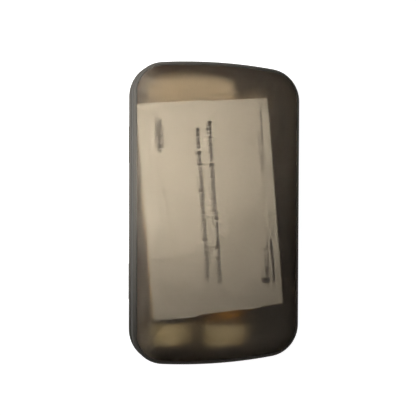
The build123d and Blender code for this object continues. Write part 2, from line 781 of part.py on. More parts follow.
with BuildPart() as meter_rear_case:
    add(meter_rear_shell())
    # opening for the battery door, through the floor and up the end
    with Locations(on_meter(0, door_top_y + door_clearance, meter_bottom - past)):
        Box(
            door_width + 2 * door_clearance,
            meter_length,
            past + door_side_height + door_clearance,
            align=(Align.CENTER, Align.MAX, Align.MIN),
            mode=Mode.SUBTRACT,
        )
    # ribs at both ends of the batteries
    with Locations(on_meter(0, battery_rib_y, floor + battery_rib_rise)):
        Box(
            battery_rib_width,
            battery_rib_thickness,
            meter_split - floor - battery_rib_rise,
            align=(Align.CENTER, Align.CENTER, Align.MIN),
        )
    end_rib_bottom = meter_bottom + door_side_height + end_rib_rise
    with Locations(on_meter(0, end_rib_y, end_rib_bottom)):
        Box(
            end_rib_width,
            end_rib_thickness,
            meter_split - end_rib_bottom,
            align=(Align.CENTER, Align.CENTER, Align.MIN),
        )
    # screw bosses and the board's standoffs
    for x, y in screw_places:
        with Locations(on_meter(x, y, meter_bottom + boss_recess)):
            Cylinder(
                boss_radius,
                meter_split - meter_bottom - boss_recess,
                align=(Align.CENTER, Align.CENTER, Align.MIN),
            )
        with Locations(on_meter(x, y, meter_bottom - past)):
            Cylinder(
                screw_head_radius,
                screw_head_depth + past,
                align=(Align.CENTER, Align.CENTER, Align.MIN),
                mode=Mode.SUBTRACT,
            )
            Cylinder(
                screw_bore_radius,
                meter_split - meter_bottom + 2 * past,
                align=(Align.CENTER, Align.CENTER, Align.MIN),
                mode=Mode.SUBTRACT,
            )
    for x in (-standoff_x, standoff_x):
        for y in (standoff_near_y, standoff_far_y):
            with Locations(on_meter(x, y, floor - meter_wall / 2)):
                Cylinder(
                    standoff_radius,
                    board_bottom - floor + meter_wall / 2,
                    align=(Align.CENTER, Align.CENTER, Align.MIN),
                )
meter_rear_case.part.label = "meter_rear_case"

# ================================================================ meter: battery door, batteries, contacts
with BuildPart() as battery_door:
    add(meter_rear_shell())
    with Locations(on_meter(0, door_top_y, meter_bottom - past)):
        Box(
            door_width,
            meter_length,
            past + door_side_height,
            align=(Align.CENTER, Align.MAX, Align.MIN),
            mode=Mode.INTERSECT,
        )
    # tongue that tucks in over the rear case's floor
    with Locations(on_meter(0, door_top_y, floor - tongue_root_rise)):
        Box(
            tongue_width,
            tongue_root,
            tongue_root_rise + tongue_gap + tongue_thickness,
            align=(Align.CENTER, Align.MAX, Align.MIN),
        )
    with Locations(on_meter(0, door_top_y - tongue_gap, floor + tongue_gap)):
        Box(
            tongue_width,
            tongue_reach + tongue_gap,
            tongue_thickness,
            align=(Align.CENTER, Align.MIN, Align.MIN),
        )
    for row in range(grip_count):
        with Locations(on_meter(0, grip_y + grip_pitch * row, meter_bottom)):
            Box(grip_width, grip_length, grip_depth, mode=Mode.SUBTRACT)
battery_door.part.label = "battery_door"

battery_x = battery_radius + battery_gap / 2
with BuildPart() as batteries:
    for x, end in ((-battery_x, 1), (battery_x, -1)):
        with Locations(on_meter(x, battery_y, battery_z)):
            Cylinder(battery_radius, battery_length, rotation=(90, 0, 0))
        pip_y = battery_y + end * (battery_length + battery_pip_length) / 2
        with Locations(on_meter(x, pip_y, battery_z)):
            Cylinder(battery_pip_radius, battery_pip_length, rotation=(90, 0, 0))
batteries.part.label = "batteries"

with BuildPart() as battery_contacts:
    with Locations(on_meter(0, bridge_contact_y, floor + bridge_contact_rise)):
        Box(
            bridge_contact_width,
            contact_thickness,
            bridge_contact_height,
            align=(Align.CENTER, Align.CENTER, Align.MIN),
        )
    for x in (-battery_x, battery_x):
        with Locations(on_meter(x, end_contact_y, meter_bottom + door_side_height + end_contact_rise)):
            Box(
                end_contact_width,
                contact_thickness,
                end_contact_height,
                align=(Align.CENTER, Align.CENTER, Align.MIN),
            )
        with Locations(on_meter(x, contact_spring_y, battery_z)):
            Cylinder(contact_spring_radius, contact_spring_length, rotation=(90, 0, 0))
battery_contacts.part.label = "battery_contacts"

with BuildPart() as rear_screws:
    for x, y in screw_places:
        with Locations(on_meter(x, y, meter_bottom + screw_head_seat)):
            Cylinder(screw_cap_radius, screw_cap_height, align=(Align.CENTER, Align.CENTER, Align.MIN))
            Cylinder(screw_shank_radius, screw_shank_length, align=(Align.CENTER, Align.CENTER, Align.MIN))
        with Locations(on_meter(x, y, meter_bottom + screw_head_seat)):
            Box(screw_cross_length, screw_cross_width, 2 * screw_cross_depth, mode=Mode.SUBTRACT)
            Box(screw_cross_width, screw_cross_length, 2 * screw_cross_depth, mode=Mode.SUBTRACT)
rear_screws.part.label = "rear_screws"

# ================================================================ meter: display, board and strip port
with BuildPart() as display_window:
    with BuildSketch(Plane(on_meter(0, window_y, meter_top - window_thickness))):
        RectangleRounded(window_width, window_length, window_corner)
    extrude(amount=window_thickness)
display_window.part.label = "display_window"

with BuildPart() as lcd_panel:
    with Locations(on_meter(0, window_y, lcd_bottom)):
        Box(lcd_width, lcd_length, lcd_thickness, align=(Align.CENTER, Align.CENTER, Align.MIN))
lcd_panel.part.label = "lcd_panel"

board_top = board_bottom + board_thickness
lcd_frame_width = lcd_width + 2 * lcd_frame_reach
lcd_frame_length = lcd_length + 2 * lcd_frame_reach
with BuildPart() as lcd_frame:
    with Locations(on_meter(0, window_y, board_top)):
        Box(
            lcd_frame_width,
            lcd_frame_length,
            lcd_bottom - board_top,
            align=(Align.CENTER, Align.CENTER, Align.MIN),
        )
        Box(
            lcd_frame_width - 2 * lcd_frame_wall,
            lcd_frame_length - 2 * lcd_frame_wall,
            lcd_bottom - board_top,
            align=(Align.CENTER, Align.CENTER, Align.MIN),
            mode=Mode.SUBTRACT,
        )
lcd_frame.part.label = "lcd_frame"

with BuildPart() as circuit_board:
    extrude(Pos(meter_x, meter_y, board_bottom) * meter_outline(-board_inset), amount=board_thickness)
    for x, y in screw_places:
        with Locations(on_meter(x, y, board_bottom + board_thickness / 2)):
            Cylinder(board_screw_clearance, board_thickness + past, mode=Mode.SUBTRACT)
circuit_board.part.label = "circuit_board"

with BuildPart() as strip_connector:
    with Locations(on_meter(0, connector_y, board_top)):
        Box(
            connector_width,
            connector_length,
            connector_height,
            align=(Align.CENTER, Align.CENTER, Align.MIN),
        )
    with Locations(on_meter(0, connector_y + connector_length / 2, strip_slot_z)):
        Box(
            connector_gap_width,
            connector_gap_length,
            connector_gap_height,
            align=(Align.CENTER, Align.MAX, Align.CENTER),
            mode=Mode.SUBTRACT,
        )
strip_connector.part.label = "strip_connector"

bezel_front_y = meter_length / 2 + bezel_proud
with BuildPart() as strip_port_bezel:
    with Locations(on_meter(0, bezel_front_y, port_bottom)):
        Box(port_width, bezel_depth, port_height, align=(Align.CENTER, Align.MAX, Align.MIN))
    with Locations(on_meter(0, bezel_front_y, strip_slot_z)):
        Box(strip_gap_width, 4 * bezel_depth, strip_gap_height, mode=Mode.SUBTRACT)
    with Locations(on_meter(0, bezel_front_y, strip_slot_z)):
        Box(bezel_mouth_width, bezel_mouth_depth, bezel_mouth_height, mode=Mode.SUBTRACT)
strip_port_bezel.part.label = "strip_port_bezel"

with BuildPart() as strip_ejector:
    with Locations(on_meter(0, ejector_y, ceiling - ejector_foot)):
        Box(
            ejector_width,
            ejector_length,
            meter_top + ejector_proud - ceiling + ejector_foot,
            align=(Align.CENTER, Align.CENTER, Align.MIN),
        )
    fillet(strip_ejector.faces().sort_by(Axis.Z)[-1].edges(), ejector_edge_radius)
    with Locations(on_meter(0, ejector_y + ejector_plate_y, ejector_plate_seat)):
        Box(
            ejector_plate_width,
            ejector_plate_length,
            ejector_plate_thickness,
            align=(Align.CENTER, Align.CENTER, Align.MIN),
        )
    for y in (-ejector_rib_pitch, 0, ejector_rib_pitch):
        with Locations(on_meter(0, ejector_y + y, meter_top + ejector_proud)):
            Box(ejector_rib_length, ejector_rib_width, 2 * ejector_rib_depth, mode=Mode.SUBTRACT)
strip_ejector.part.label = "strip_ejector"

# ================================================================ meter: buttons and the pad under them
ok_button = meter_button(ok_button_outline, 0, ok_button_y)
ok_button.label = "ok_button"
left_button = meter_button(side_button_outline, -side_button_x, side_button_y)
left_button.label = "left_button"
right_button = meter_button(side_button_outline, side_button_x, side_button_y)
right_button.label = "right_button"

with BuildPart() as button_pad:
    with Locations(on_meter(0, pad_y, board_top)):
        Box(pad_width, pad_length, pad_thickness, align=(Align.CENTER, Align.CENTER, Align.MIN))
    for x, y, radius in (
        (0, ok_button_y, ok_dome_radius),
        (-side_button_x, side_button_y, side_dome_radius),
        (side_button_x, side_button_y, side_dome_radius),
    ):
        with Locations(on_meter(x, y, board_top + pad_thickness)):
            Cone(radius, radius - dome_taper, dome_height, align=(Align.CENTER, Align.CENTER, Align.MIN))
button_pad.part.label = "button_pad"

# ================================================================ lancing device
with BuildPart() as lancing_shell:
    turned(
        lance_x,
        lance_z,
        [
            (tail_end, tail_bore),
            (tail_end, tail_radius),
            (barrel_start, tail_radius),
            (barrel_start, barrel_end_radius),
            (barrel_start + barrel_edge, lance_radius),
            (barrel_end - barrel_edge, lance_radius),
            (barrel_end, barrel_end_radius),
            (barrel_end, neck_radius),
            (neck_end, neck_radius),
            (neck_end, neck_bore),
            (barrel_end - barrel_end_wall, neck_bore),
            (barrel_end - barrel_end_wall, barrel_bore),
            (barrel_start + tail_wall, barrel_bore),
            (barrel_start + tail_wall, tail_wall_bore),
            (barrel_start, tail_wall_bore),
            (barrel_start, tail_bore),
        ],
    )
    with Locations((lance_x, trigger_y, lance_z)):
        Box(
            trigger_width + 2 * trigger_clearance,
            trigger_length + 2 * trigger_clearance,
            2 * lance_radius,
            align=(Align.CENTER, Align.CENTER, Align.MIN),
            mode=Mode.SUBTRACT,
        )
lancing_upper = split(lancing_shell.part, bisect_by=Plane.XY.offset(lance_z), keep=Keep.TOP)
lancing_upper.label = "lancing_body_upper"
lancing_lower = split(lancing_shell.part, bisect_by=Plane.XY.offset(lance_z), keep=Keep.BOTTOM)
lancing_lower.label = "lancing_body_lower"

with BuildPart() as depth_dial:
    turned(
        lance_x,
        lance_z,
        [
            (dial_start, dial_bore),
            (dial_start, dial_radius),
            (dial_end, dial_radius),
            (dial_end, dial_bore),
        ],
    )
    with Locations(Plane(origin=(lance_x, dial_flute_middle, lance_z), x_dir=(1, 0, 0), z_dir=(0, 1, 0))):
        with PolarLocations(dial_radius + dial_flute_reach, dial_flute_count):
            Cylinder(dial_flute_radius, dial_flute_length, mode=Mode.SUBTRACT)
depth_dial.part.label = "depth_dial"

with BuildPart() as nose_cap:
    turned(
        lance_x,
        lance_z,
        [
            (cap_start, cap_bore),
            (cap_start, cap_radius),
            (cap_shoulder, cap_radius),
            (cap_nose - cap_edge, cap_nose_radius),
            (cap_nose, cap_nose_radius - cap_edge),
            (cap_nose, cap_mouth),
            (cap_nose - cap_wall, cap_mouth),
            (cap_nose - cap_wall, cap_nose_radius - cap_wall),
            (cap_shoulder, cap_bore),
        ],
    )
nose_cap.part.label = "nose_cap"

with BuildPart() as cocking_sleeve:
    turned(
        lance_x,
        lance_z,
        [
            (sleeve_start, 0),
            (sleeve_start, sleeve_radius - sleeve_edge),
            (sleeve_start + sleeve_edge, sleeve_radius),
            (sleeve_end, sleeve_radius),
            (sleeve_end, sleeve_bore),
            (sleeve_start + sleeve_floor, sleeve_bore),
            (sleeve_start + sleeve_floor, 0),
        ],
    )
    for groove in sleeve_grooves:
        turned(
            lance_x,
            lance_z,
            [
                (groove, sleeve_groove_radius),
                (groove, sleeve_radius + past),
                (groove + sleeve_groove_width, sleeve_radius + past),
                (groove + sleeve_groove_width, sleeve_groove_radius),
            ],
            mode=Mode.SUBTRACT,
        )
cocking_sleeve.part.label = "cocking_sleeve"

with BuildPart() as lancet_carriage:
    turned(
        lance_x,
        lance_z,
        [
            (carriage_start, 0),
            (carriage_start, rod_radius),
            (rod_end, rod_radius),
            (rod_end, carriage_radius),
            (carriage_end, carriage_radius),
            (carriage_end, holder_radius),
            (holder_end, holder_radius),
            (holder_end, holder_bore),
            (holder_start, holder_bore),
            (holder_start, 0),
        ],
    )
lancet_carriage.part.label = "lancet_carriage"

with BuildPart() as trigger_button:
    with Locations((lance_x, trigger_y, lance_z + trigger_bottom)):
        Box(trigger_width, trigger_length, trigger_height, align=(Align.CENTER, Align.CENTER, Align.MIN))
    fillet(trigger_button.faces().sort_by(Axis.Z)[-1].edges(), trigger_edge_radius)
    with Locations((lance_x, trigger_y, lance_z + trigger_flange_bottom)):
        Box(
            trigger_flange_width,
            trigger_flange_length,
            trigger_flange_thickness,
            align=(Align.CENTER, Align.CENTER, Align.MIN),
        )
trigger_button.part.label = "trigger_button"

with BuildPart() as drive_spring:
    with BuildLine():
        coil = Helix(
            pitch=spring_length / spring_turns,
            height=spring_length,
            radius=spring_radius,
            center=(lance_x, spring_start, lance_z),
            direction=(0, 1, 0),
        )
    with BuildSketch(Plane(origin=coil @ 0, z_dir=coil % 0)):
        Circle(spring_wire_radius)
    sweep(is_frenet=True)
drive_spring.part.label = "drive_spring"

with BuildPart() as loaded_lancet:
    turned(
        lance_x,
        lance_z,
        [
            (lancet_start, 0),
            (lancet_start, loaded_lancet_radius),
            (lancet_end, loaded_lancet_radius),
            (lancet_shoulder, lancet_collar_radius),
            (lancet_shoulder, needle_radius),
            (needle_end, needle_tip_radius),
            (needle_end, 0),
        ],
    )
loaded_lancet.part.label = "loaded_lancet"

# ================================================================ strip vials
vial_pieces = []
for side, x, end in (("left", left_vial_x, left_vial_end), ("right", right_vial_x, right_vial_end)):
    for piece, name in zip(vial_parts(x, end), ("body", "cap", "label", "liner", "strips")):
        piece.label = f"{side}_vial_{name}"
        vial_pieces.append(piece)

# ================================================================ spare lancets
lancet_z = lancet_pocket_floor + lancet_rest
lancet_rows = [lancet_pocket_y + (i - (lancet_count - 1) / 2) * lancet_pitch for i in range(lancet_count)]
lancet_body_x = lancet_pocket_x + lancet_middle
with BuildPart() as spare_lancets:
    for y in lancet_rows:
        with Locations((lancet_body_x, y, lancet_z)):
            Cylinder(lancet_radius, lancet_length, rotation=(0, 90, 0))
        with Locations((lancet_body_x, y, lancet_z)):
            Box(lancet_wing_length, lancet_wing_width, lancet_wing_thickness)
spare_lancets.part.label = "spare_lancets"

lancet_tip_x = lancet_body_x + lancet_length / 2 + lancet_tip_gap
with BuildPart() as lancet_caps:
    for y in lancet_rows:
        with Locations((lancet_tip_x, y, lancet_z)):
            Cylinder(
                lancet_cap_neck_radius,
                lancet_cap_neck_length,
                rotation=(0, 90, 0),
                align=(Align.CENTER, Align.CENTER, Align.MIN),
            )
        with Locations((lancet_tip_x + lancet_cap_reach, y, lancet_z)):
            Cylinder(lancet_cap_radius, lancet_cap_thickness)
lancet_caps.part.label = "lancet_caps"

# ================================================================ booklet and its tape
on_booklet = Location((booklet_x, booklet_y, booklet_top), (0, 0, booklet_turn))
page_gap = booklet_thickness - 2 * cover_thickness
with BuildPart() as booklet_cover:
    with Locations(on_booklet):
        Box(
            booklet_width,
            booklet_length,
            booklet_thickness,
            align=(Align.CENTER, Align.CENTER, Align.MAX),
        )
    fillet(booklet_cover.edges().filter_by(Axis.Z), booklet_corner)
    with Locations(on_booklet * Pos(0, cover_thickness, -cover_thickness)):
        Box(
            booklet_width + 2 * past,
            booklet_length,
            page_gap,
            align=(Align.CENTER, Align.CENTER, Align.MAX),
            mode=Mode.SUBTRACT,
        )
booklet_cover.part.label = "booklet_cover"

with BuildPart() as booklet_pages:
    with Locations(on_booklet * Pos(0, (cover_thickness - page_end_margin) / 2, -cover_thickness)):
        Box(
            booklet_width - 2 * page_side_margin,
            booklet_length - cover_thickness - page_end_margin,
            page_gap,
            align=(Align.CENTER, Align.CENTER, Align.MAX),
        )
    fillet(booklet_pages.edges().filter_by(Axis.Z), page_corner)
booklet_pages.part.label = "booklet_pages"

with BuildPart() as booklet_staples:
    with Locations(
        on_booklet * Pos(-staple_x, -booklet_length / 2, -booklet_thickness / 2),
        on_booklet * Pos(staple_x, -booklet_length / 2, -booklet_thickness / 2),
    ):
        Box(staple_length, staple_thickness, staple_height, align=(Align.CENTER, Align.MAX, Align.CENTER))
booklet_staples.part.label = "booklet_staples"

# a loose sheet folded once, tucked behind the booklet and showing a little past its hinge-side edge
on_leaflet = on_booklet * Location((leaflet_x, leaflet_y, -booklet_thickness), (0, 0, leaflet_turn))
with BuildPart() as folded_leaflet:
    with Locations(on_leaflet):
        Box(
            leaflet_width,
            leaflet_length,
            leaflet_thickness,
            align=(Align.CENTER, Align.CENTER, Align.MAX),
        )
    with Locations(on_leaflet * Pos(leaflet_ply, 0, -leaflet_ply)):
        Box(
            leaflet_width,
            leaflet_length + 2 * past,
            leaflet_thickness - 2 * leaflet_ply,
            align=(Align.CENTER, Align.CENTER, Align.MAX),
            mode=Mode.SUBTRACT,
        )
folded_leaflet.part.label = "folded_leaflet"

with BuildPart() as adhesive_tab:
    with Locations(on_booklet * Pos(tape_x, tape_y, 0)):
        Box(tape_width, tape_length, tape_thickness, align=(Align.CENTER, Align.CENTER, Align.MIN))
adhesive_tab.part.label = "adhesive_tab"

# ================================================================ out
pieces = [
    case_base.part,
    case_lid.part,
    hinge_pins.part,
    tray.part,
    meter_front_case.part,
    meter_rear_case.part,
    battery_door.part,
    batteries.part,
    battery_contacts.part,
    rear_screws.part,
    display_window.part,
    lcd_panel.part,
    lcd_frame.part,
    circuit_board.part,
    strip_connector.part,
    strip_port_bezel.part,
    strip_ejector.part,
    ok_button,
    left_button,
    right_button,
    button_pad.part,
    lancing_upper,
    lancing_lower,
    depth_dial.part,
    nose_cap.part,
    cocking_sleeve.part,
    lancet_carriage.part,
    trigger_button.part,
    drive_spring.part,
    loaded_lancet.part,
    spare_lancets.part,
    lancet_caps.part,
    booklet_cover.part,
    booklet_pages.part,
    booklet_staples.part,
    folded_leaflet.part,
    adhesive_tab.part,
] + vial_pieces
for piece in pieces:
    export_step(piece, f"parts/{piece.label}.step")
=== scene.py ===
"""Looks of the blood glucose monitoring kit: a smoked, frosted case with its tray, meter, lancing
device, strip vials, lancets and booklet. Lengths are in millimetres, except those of the lamps, the
floor and the camera's range, which are in metres.
"""

import json
import math

import bpy
from mathutils import Matrix, Vector


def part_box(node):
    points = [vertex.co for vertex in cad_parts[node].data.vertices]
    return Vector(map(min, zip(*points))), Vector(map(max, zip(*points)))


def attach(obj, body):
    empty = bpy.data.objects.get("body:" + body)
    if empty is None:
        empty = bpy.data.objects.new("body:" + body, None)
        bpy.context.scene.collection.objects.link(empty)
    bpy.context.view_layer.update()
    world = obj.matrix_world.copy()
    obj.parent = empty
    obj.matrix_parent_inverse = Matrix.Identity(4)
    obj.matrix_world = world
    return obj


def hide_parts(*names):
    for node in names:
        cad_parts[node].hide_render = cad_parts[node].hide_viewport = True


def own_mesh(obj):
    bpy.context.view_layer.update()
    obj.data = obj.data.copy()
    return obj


MM = 0.001

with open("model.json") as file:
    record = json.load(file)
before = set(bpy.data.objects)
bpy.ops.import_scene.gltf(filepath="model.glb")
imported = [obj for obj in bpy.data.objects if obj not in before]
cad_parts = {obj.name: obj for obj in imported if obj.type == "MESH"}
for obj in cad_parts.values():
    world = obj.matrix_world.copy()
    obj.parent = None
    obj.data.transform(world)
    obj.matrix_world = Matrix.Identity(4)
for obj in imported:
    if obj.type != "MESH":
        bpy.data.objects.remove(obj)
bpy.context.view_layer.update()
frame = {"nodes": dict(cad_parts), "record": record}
nodes = frame["nodes"]
scene = bpy.context.scene
scene.view_settings.view_transform = "Standard"


# ================================================================ camera
CASE_HEIGHT = 42.0
CAMERA_LEAN = math.radians(13.69)  # from straight above, towards the hinge side
CAMERA_PITCH = math.radians(0.78)
CAMERA_ROLL = math.radians(0.19)
CAMERA_DISTANCE = 330.0  # from the lid's top
CAMERA_AIM = Vector((-7.95, 3.56, CASE_HEIGHT))
FOCAL_PIXELS = 507.5  # the focal length, as a length in the photograph's pixels
IMAGE_PIXELS = 416.0
SENSOR = 36.0
NEAREST = 0.01  # the camera's range, in metres
FARTHEST = 20.0


def add_camera():
    """The photograph's camera, fitted to the case's outline and the booklet's corners."""
    back = Vector(
        (
            -math.sin(CAMERA_LEAN) * math.cos(CAMERA_PITCH),
            math.sin(CAMERA_PITCH),
            math.cos(CAMERA_LEAN) * math.cos(CAMERA_PITCH),
        )
    )
    right = Vector((0, 1, 0)).cross(back).normalized()
    up = back.cross(right)
    rolled_right = right * math.cos(CAMERA_ROLL) + up * math.sin(CAMERA_ROLL)
    rolled_up = up * math.cos(CAMERA_ROLL) - right * math.sin(CAMERA_ROLL)
    data = bpy.data.cameras.new("camera")
    data.sensor_width = SENSOR
    data.lens = FOCAL_PIXELS / IMAGE_PIXELS * SENSOR
    data.clip_start = NEAREST
    data.clip_end = FARTHEST
    camera = bpy.data.objects.new("camera", data)
    turn = Matrix((rolled_right, rolled_up, back)).transposed().to_4x4()
    camera.matrix_world = Matrix.Translation((CAMERA_AIM + back * CAMERA_DISTANCE) * MM) @ turn
    scene.collection.objects.link(camera)
    scene.camera = camera


add_camera()


# ================================================================ shader nodes
NOISE_LOW, NOISE_HIGH = 0.3, 0.7  # what smooth noise mostly runs between


def join(tree, source, target):
    tree.links.new(source, target)


def calculated(tree, operation, *values):
    """A math node's result; each value is a socket or a number."""
    node = tree.nodes.new("ShaderNodeMath")
    node.operation = operation
    for socket, value in zip(node.inputs, values):
        if isinstance(value, (int, float)):
            socket.default_value = value
        else:
            join(tree, value, socket)
    return node.outputs[0]


def product(tree, first, second):
    return calculated(tree, "MULTIPLY", first, second)


def total(tree, first, second):
    return calculated(tree, "ADD", first, second)


def rest_of(tree, value):
    """What a value leaves of 1."""
    return calculated(tree, "SUBTRACT", 1, value)


def map_range(tree, value, from_low, from_high, to_low, to_high, interpolation="SMOOTHSTEP"):
    """Carries a value from one range to another, smoothly unless told otherwise."""
    scale = tree.nodes.new("ShaderNodeMapRange")
    scale.interpolation_type = interpolation
    scale.inputs["From Min"].default_value = from_low
    scale.inputs["From Max"].default_value = from_high
    scale.inputs["To Min"].default_value = to_low
    scale.inputs["To Max"].default_value = to_high
    join(tree, value, scale.inputs["Value"])
    return scale.outputs[0]


def between(tree, factor, first, second):
    """A colour between two colours; either may be a socket."""
    mix = tree.nodes.new("ShaderNodeMix")
    mix.data_type = "RGBA"
    join(tree, factor, mix.inputs["Factor"])
    for socket, colour in ((mix.inputs[6], first), (mix.inputs[7], second)):
        if isinstance(colour, tuple):
            socket.default_value = (*colour, 1)
        else:
            join(tree, colour, socket)
    return mix.outputs[2]


def split(tree, vector):
    """A vector's X, Y and Z."""
    parts = tree.nodes.new("ShaderNodeSeparateXYZ")
    join(tree, vector, parts.inputs[0])
    return parts.outputs


def object_place(tree):
    """The surface's place on the object, in metres, which moves with its body."""
    return tree.nodes.new("ShaderNodeTexCoord").outputs["Object"]


def noise(tree, size, detail=2.0):
    """Smooth noise with features of about size millimetres."""
    texture = tree.nodes.new("ShaderNodeTexNoise")
    texture.inputs["Scale"].default_value = 1 / (size * MM)
    texture.inputs["Detail"].default_value = detail
    join(tree, object_place(tree), texture.inputs["Vector"])
    return texture.outputs["Fac"]


def span(tree, value, low, high):
    """Stretches a noise value to run between two numbers."""
    return map_range(tree, value, NOISE_LOW, NOISE_HIGH, low, high, "LINEAR")


def within(tree, place, middle, half):
    """1 where a place, a socket in metres, is within half of middle, both in millimetres, else 0."""
    return calculated(tree, "COMPARE", place, middle * MM, half * MM)


# ================================================================ light and floor
def add_light(data, place, aim, power):
    """Puts a lamp in its place, turned to its aim."""
    data.energy = power
    light = bpy.data.objects.new(data.name, data)
    light.location = place
    light.rotation_euler = (Vector(aim) - Vector(place)).to_track_quat("-Z", "Y").to_euler()
    scene.collection.objects.link(light)


def add_area(name, place, aim, size, power):
    """A square soft light."""
    data = bpy.data.lights.new(name, "AREA")
    data.shape = "SQUARE"
    data.size = size
    add_light(data, place, aim, power)


def add_spot(name, place, aim, cone, radius, power):
    """A soft spot whose light falls off smoothly from its aim to the edge of its cone."""
    data = bpy.data.lights.new(name, "SPOT")
    data.spot_size = math.radians(cone)
    data.spot_blend = 1.0
    data.shadow_soft_size = radius
    add_light(data, place, aim, power)


def show_white_to(tree, shader_socket, white):
    """Mixes a plain white in for the rays that only look, so the background stays white."""
    path = tree.nodes.new("ShaderNodeLightPath").outputs
    looking = path["Is Camera Ray"]
    for kind in ("Is Glossy Ray", "Is Transmission Ray"):
        looking = calculated(tree, "MAXIMUM", looking, path[kind])
    unscattered = calculated(tree, "LESS_THAN", path["Diffuse Depth"], 0.5)
    mix = tree.nodes.new("ShaderNodeMixShader")
    join(tree, product(tree, looking, unscattered), mix.inputs[0])
    join(tree, shader_socket, mix.inputs[1])
    join(tree, white, mix.inputs[2])
    return mix.outputs[0]


SKY_TOP = 0.14
SKY_HORIZON = 0.05
SKY_COLOUR = (1, 0.98, 0.95, 1)


def add_world():
    """A soft sky, brightest straight above and dim at the horizon, which the camera sees as plain white."""
    world = bpy.data.worlds.new("studio")
    scene.world = world
    world.use_nodes = True
    tree = world.node_tree
    tree.nodes.clear()
    output = tree.nodes.new("ShaderNodeOutputWorld")
    soft = tree.nodes.new("ShaderNodeBackground")
    soft.inputs["Color"].default_value = SKY_COLOUR
    height = split(tree, tree.nodes.new("ShaderNodeTexCoord").outputs["Generated"])["Z"]
    join(tree, map_range(tree, height, 0, 1, SKY_HORIZON, SKY_TOP), soft.inputs["Strength"])
    white = tree.nodes.new("ShaderNodeBackground")
    white.inputs["Color"].default_value = (1, 1, 1, 1)
    join(tree, show_white_to(tree, soft.outputs[0], white.outputs[0]), output.inputs["Surface"])


add_world()
add_spot("key", (-0.16, 0.04, 0.34), (-0.055, 0.046, 0.04), 44, 0.05, 9.1)
add_area("fill", (-0.9, 0.3, 0.45), (0, 0, 0), 0.6, 3.0)
add_area("front", (0.55, -0.75, 0.12), (0, 0, 0.03), 0.5, 1.8)

FLOOR_SIZE = 6.0
FLOOR_GAP = 0.00005  # keeps the floor clear of the case's flat bottom
FLOOR_WHITE = 0.94  # the rest of the floor's white is its own paint, which keeps the shadow
FLOOR_PAINT = (0.5, 0.5, 0.5, 1)


def add_floor():
    """A plain pale floor, white to the camera apart from the object's shadow."""
    half = FLOOR_SIZE / 2
    mesh = bpy.data.meshes.new("floor")
    corners = [(x, y, -FLOOR_GAP) for x, y in ((-half, -half), (half, -half), (half, half), (-half, half))]
    mesh.from_pydata(corners, [], [(0, 1, 2, 3)])
    floor = bpy.data.objects.new("floor", mesh)
    scene.collection.objects.link(floor)
    material = bpy.data.materials.new("floor")
    material.use_nodes = True
    tree = material.node_tree
    tree.nodes.clear()
    output = tree.nodes.new("ShaderNodeOutputMaterial")
    paint = tree.nodes.new("ShaderNodeBsdfDiffuse")
    paint.inputs["Color"].default_value = FLOOR_PAINT
    white = tree.nodes.new("ShaderNodeEmission")
    white.inputs["Strength"].default_value = FLOOR_WHITE
    shaded_white = tree.nodes.new("ShaderNodeAddShader")
    join(tree, paint.outputs[0], shaded_white.inputs[0])
    join(tree, white.outputs[0], shaded_white.inputs[1])
    mixed = show_white_to(tree, paint.outputs[0], shaded_white.outputs[0])
    join(tree, mixed, output.inputs["Surface"])
    mesh.materials.append(material)


add_floor()


# ================================================================ materials
PLASTIC_IOR = 1.46
GLOSS_SPREAD = 0.06  # how far a material's roughness wanders either way
GLOSS_PATCH = 9.0  # size of the patches it wanders over
COLOUR_PATCH = 14.0  # and of those of its colour
SMOOTHEST = 0.05  # the least roughness


def plastic(name, colour, roughness, metallic=0.0, specular=0.5, transmission=0.0):
    """A plain material of one colour and gloss, ready for its details."""
    material = bpy.data.materials.new(name)
    material.use_nodes = True
    shader = material.node_tree.nodes["Principled BSDF"]
    shader.inputs["Base Color"].default_value = (*colour, 1)
    shader.inputs["Roughness"].default_value = roughness
    shader.inputs["Metallic"].default_value = metallic
    shader.inputs["Specular IOR Level"].default_value = specular
    shader.inputs["Transmission Weight"].default_value = transmission
    shader.inputs["IOR"].default_value = PLASTIC_IOR
    return material


def roughen(material, grain, relief, gloss_spread=GLOSS_SPREAD):
    """Gives a material a moulded grain: its size in mm, its depth in mm, and how its gloss varies."""
    tree = material.node_tree
    shader = tree.nodes["Principled BSDF"]
    bump = tree.nodes.new("ShaderNodeBump")
    bump.inputs["Strength"].default_value = 1.0
    bump.inputs["Distance"].default_value = relief * MM
    join(tree, noise(tree, grain), bump.inputs["Height"])
    join(tree, bump.outputs[0], shader.inputs["Normal"])
    middle = shader.inputs["Roughness"].default_value
    low, high = max(SMOOTHEST, middle - gloss_spread), middle + gloss_spread
    join(tree, span(tree, noise(tree, GLOSS_PATCH, 3.0), low, high), shader.inputs["Roughness"])


def mottle(material, amount):
    """Varies a material's colour a little, by a share of it."""
    tree = material.node_tree
    socket = tree.nodes["Principled BSDF"].inputs["Base Color"]
    colour = tuple(socket.default_value)[:3]
    dark = tuple(part * (1 - amount) for part in colour)
    light = tuple(min(1.0, part * (1 + amount)) for part in colour)
    patches = span(tree, noise(tree, COLOUR_PATCH, 4.0), 0, 1)
    join(tree, between(tree, patches, dark, light), socket)


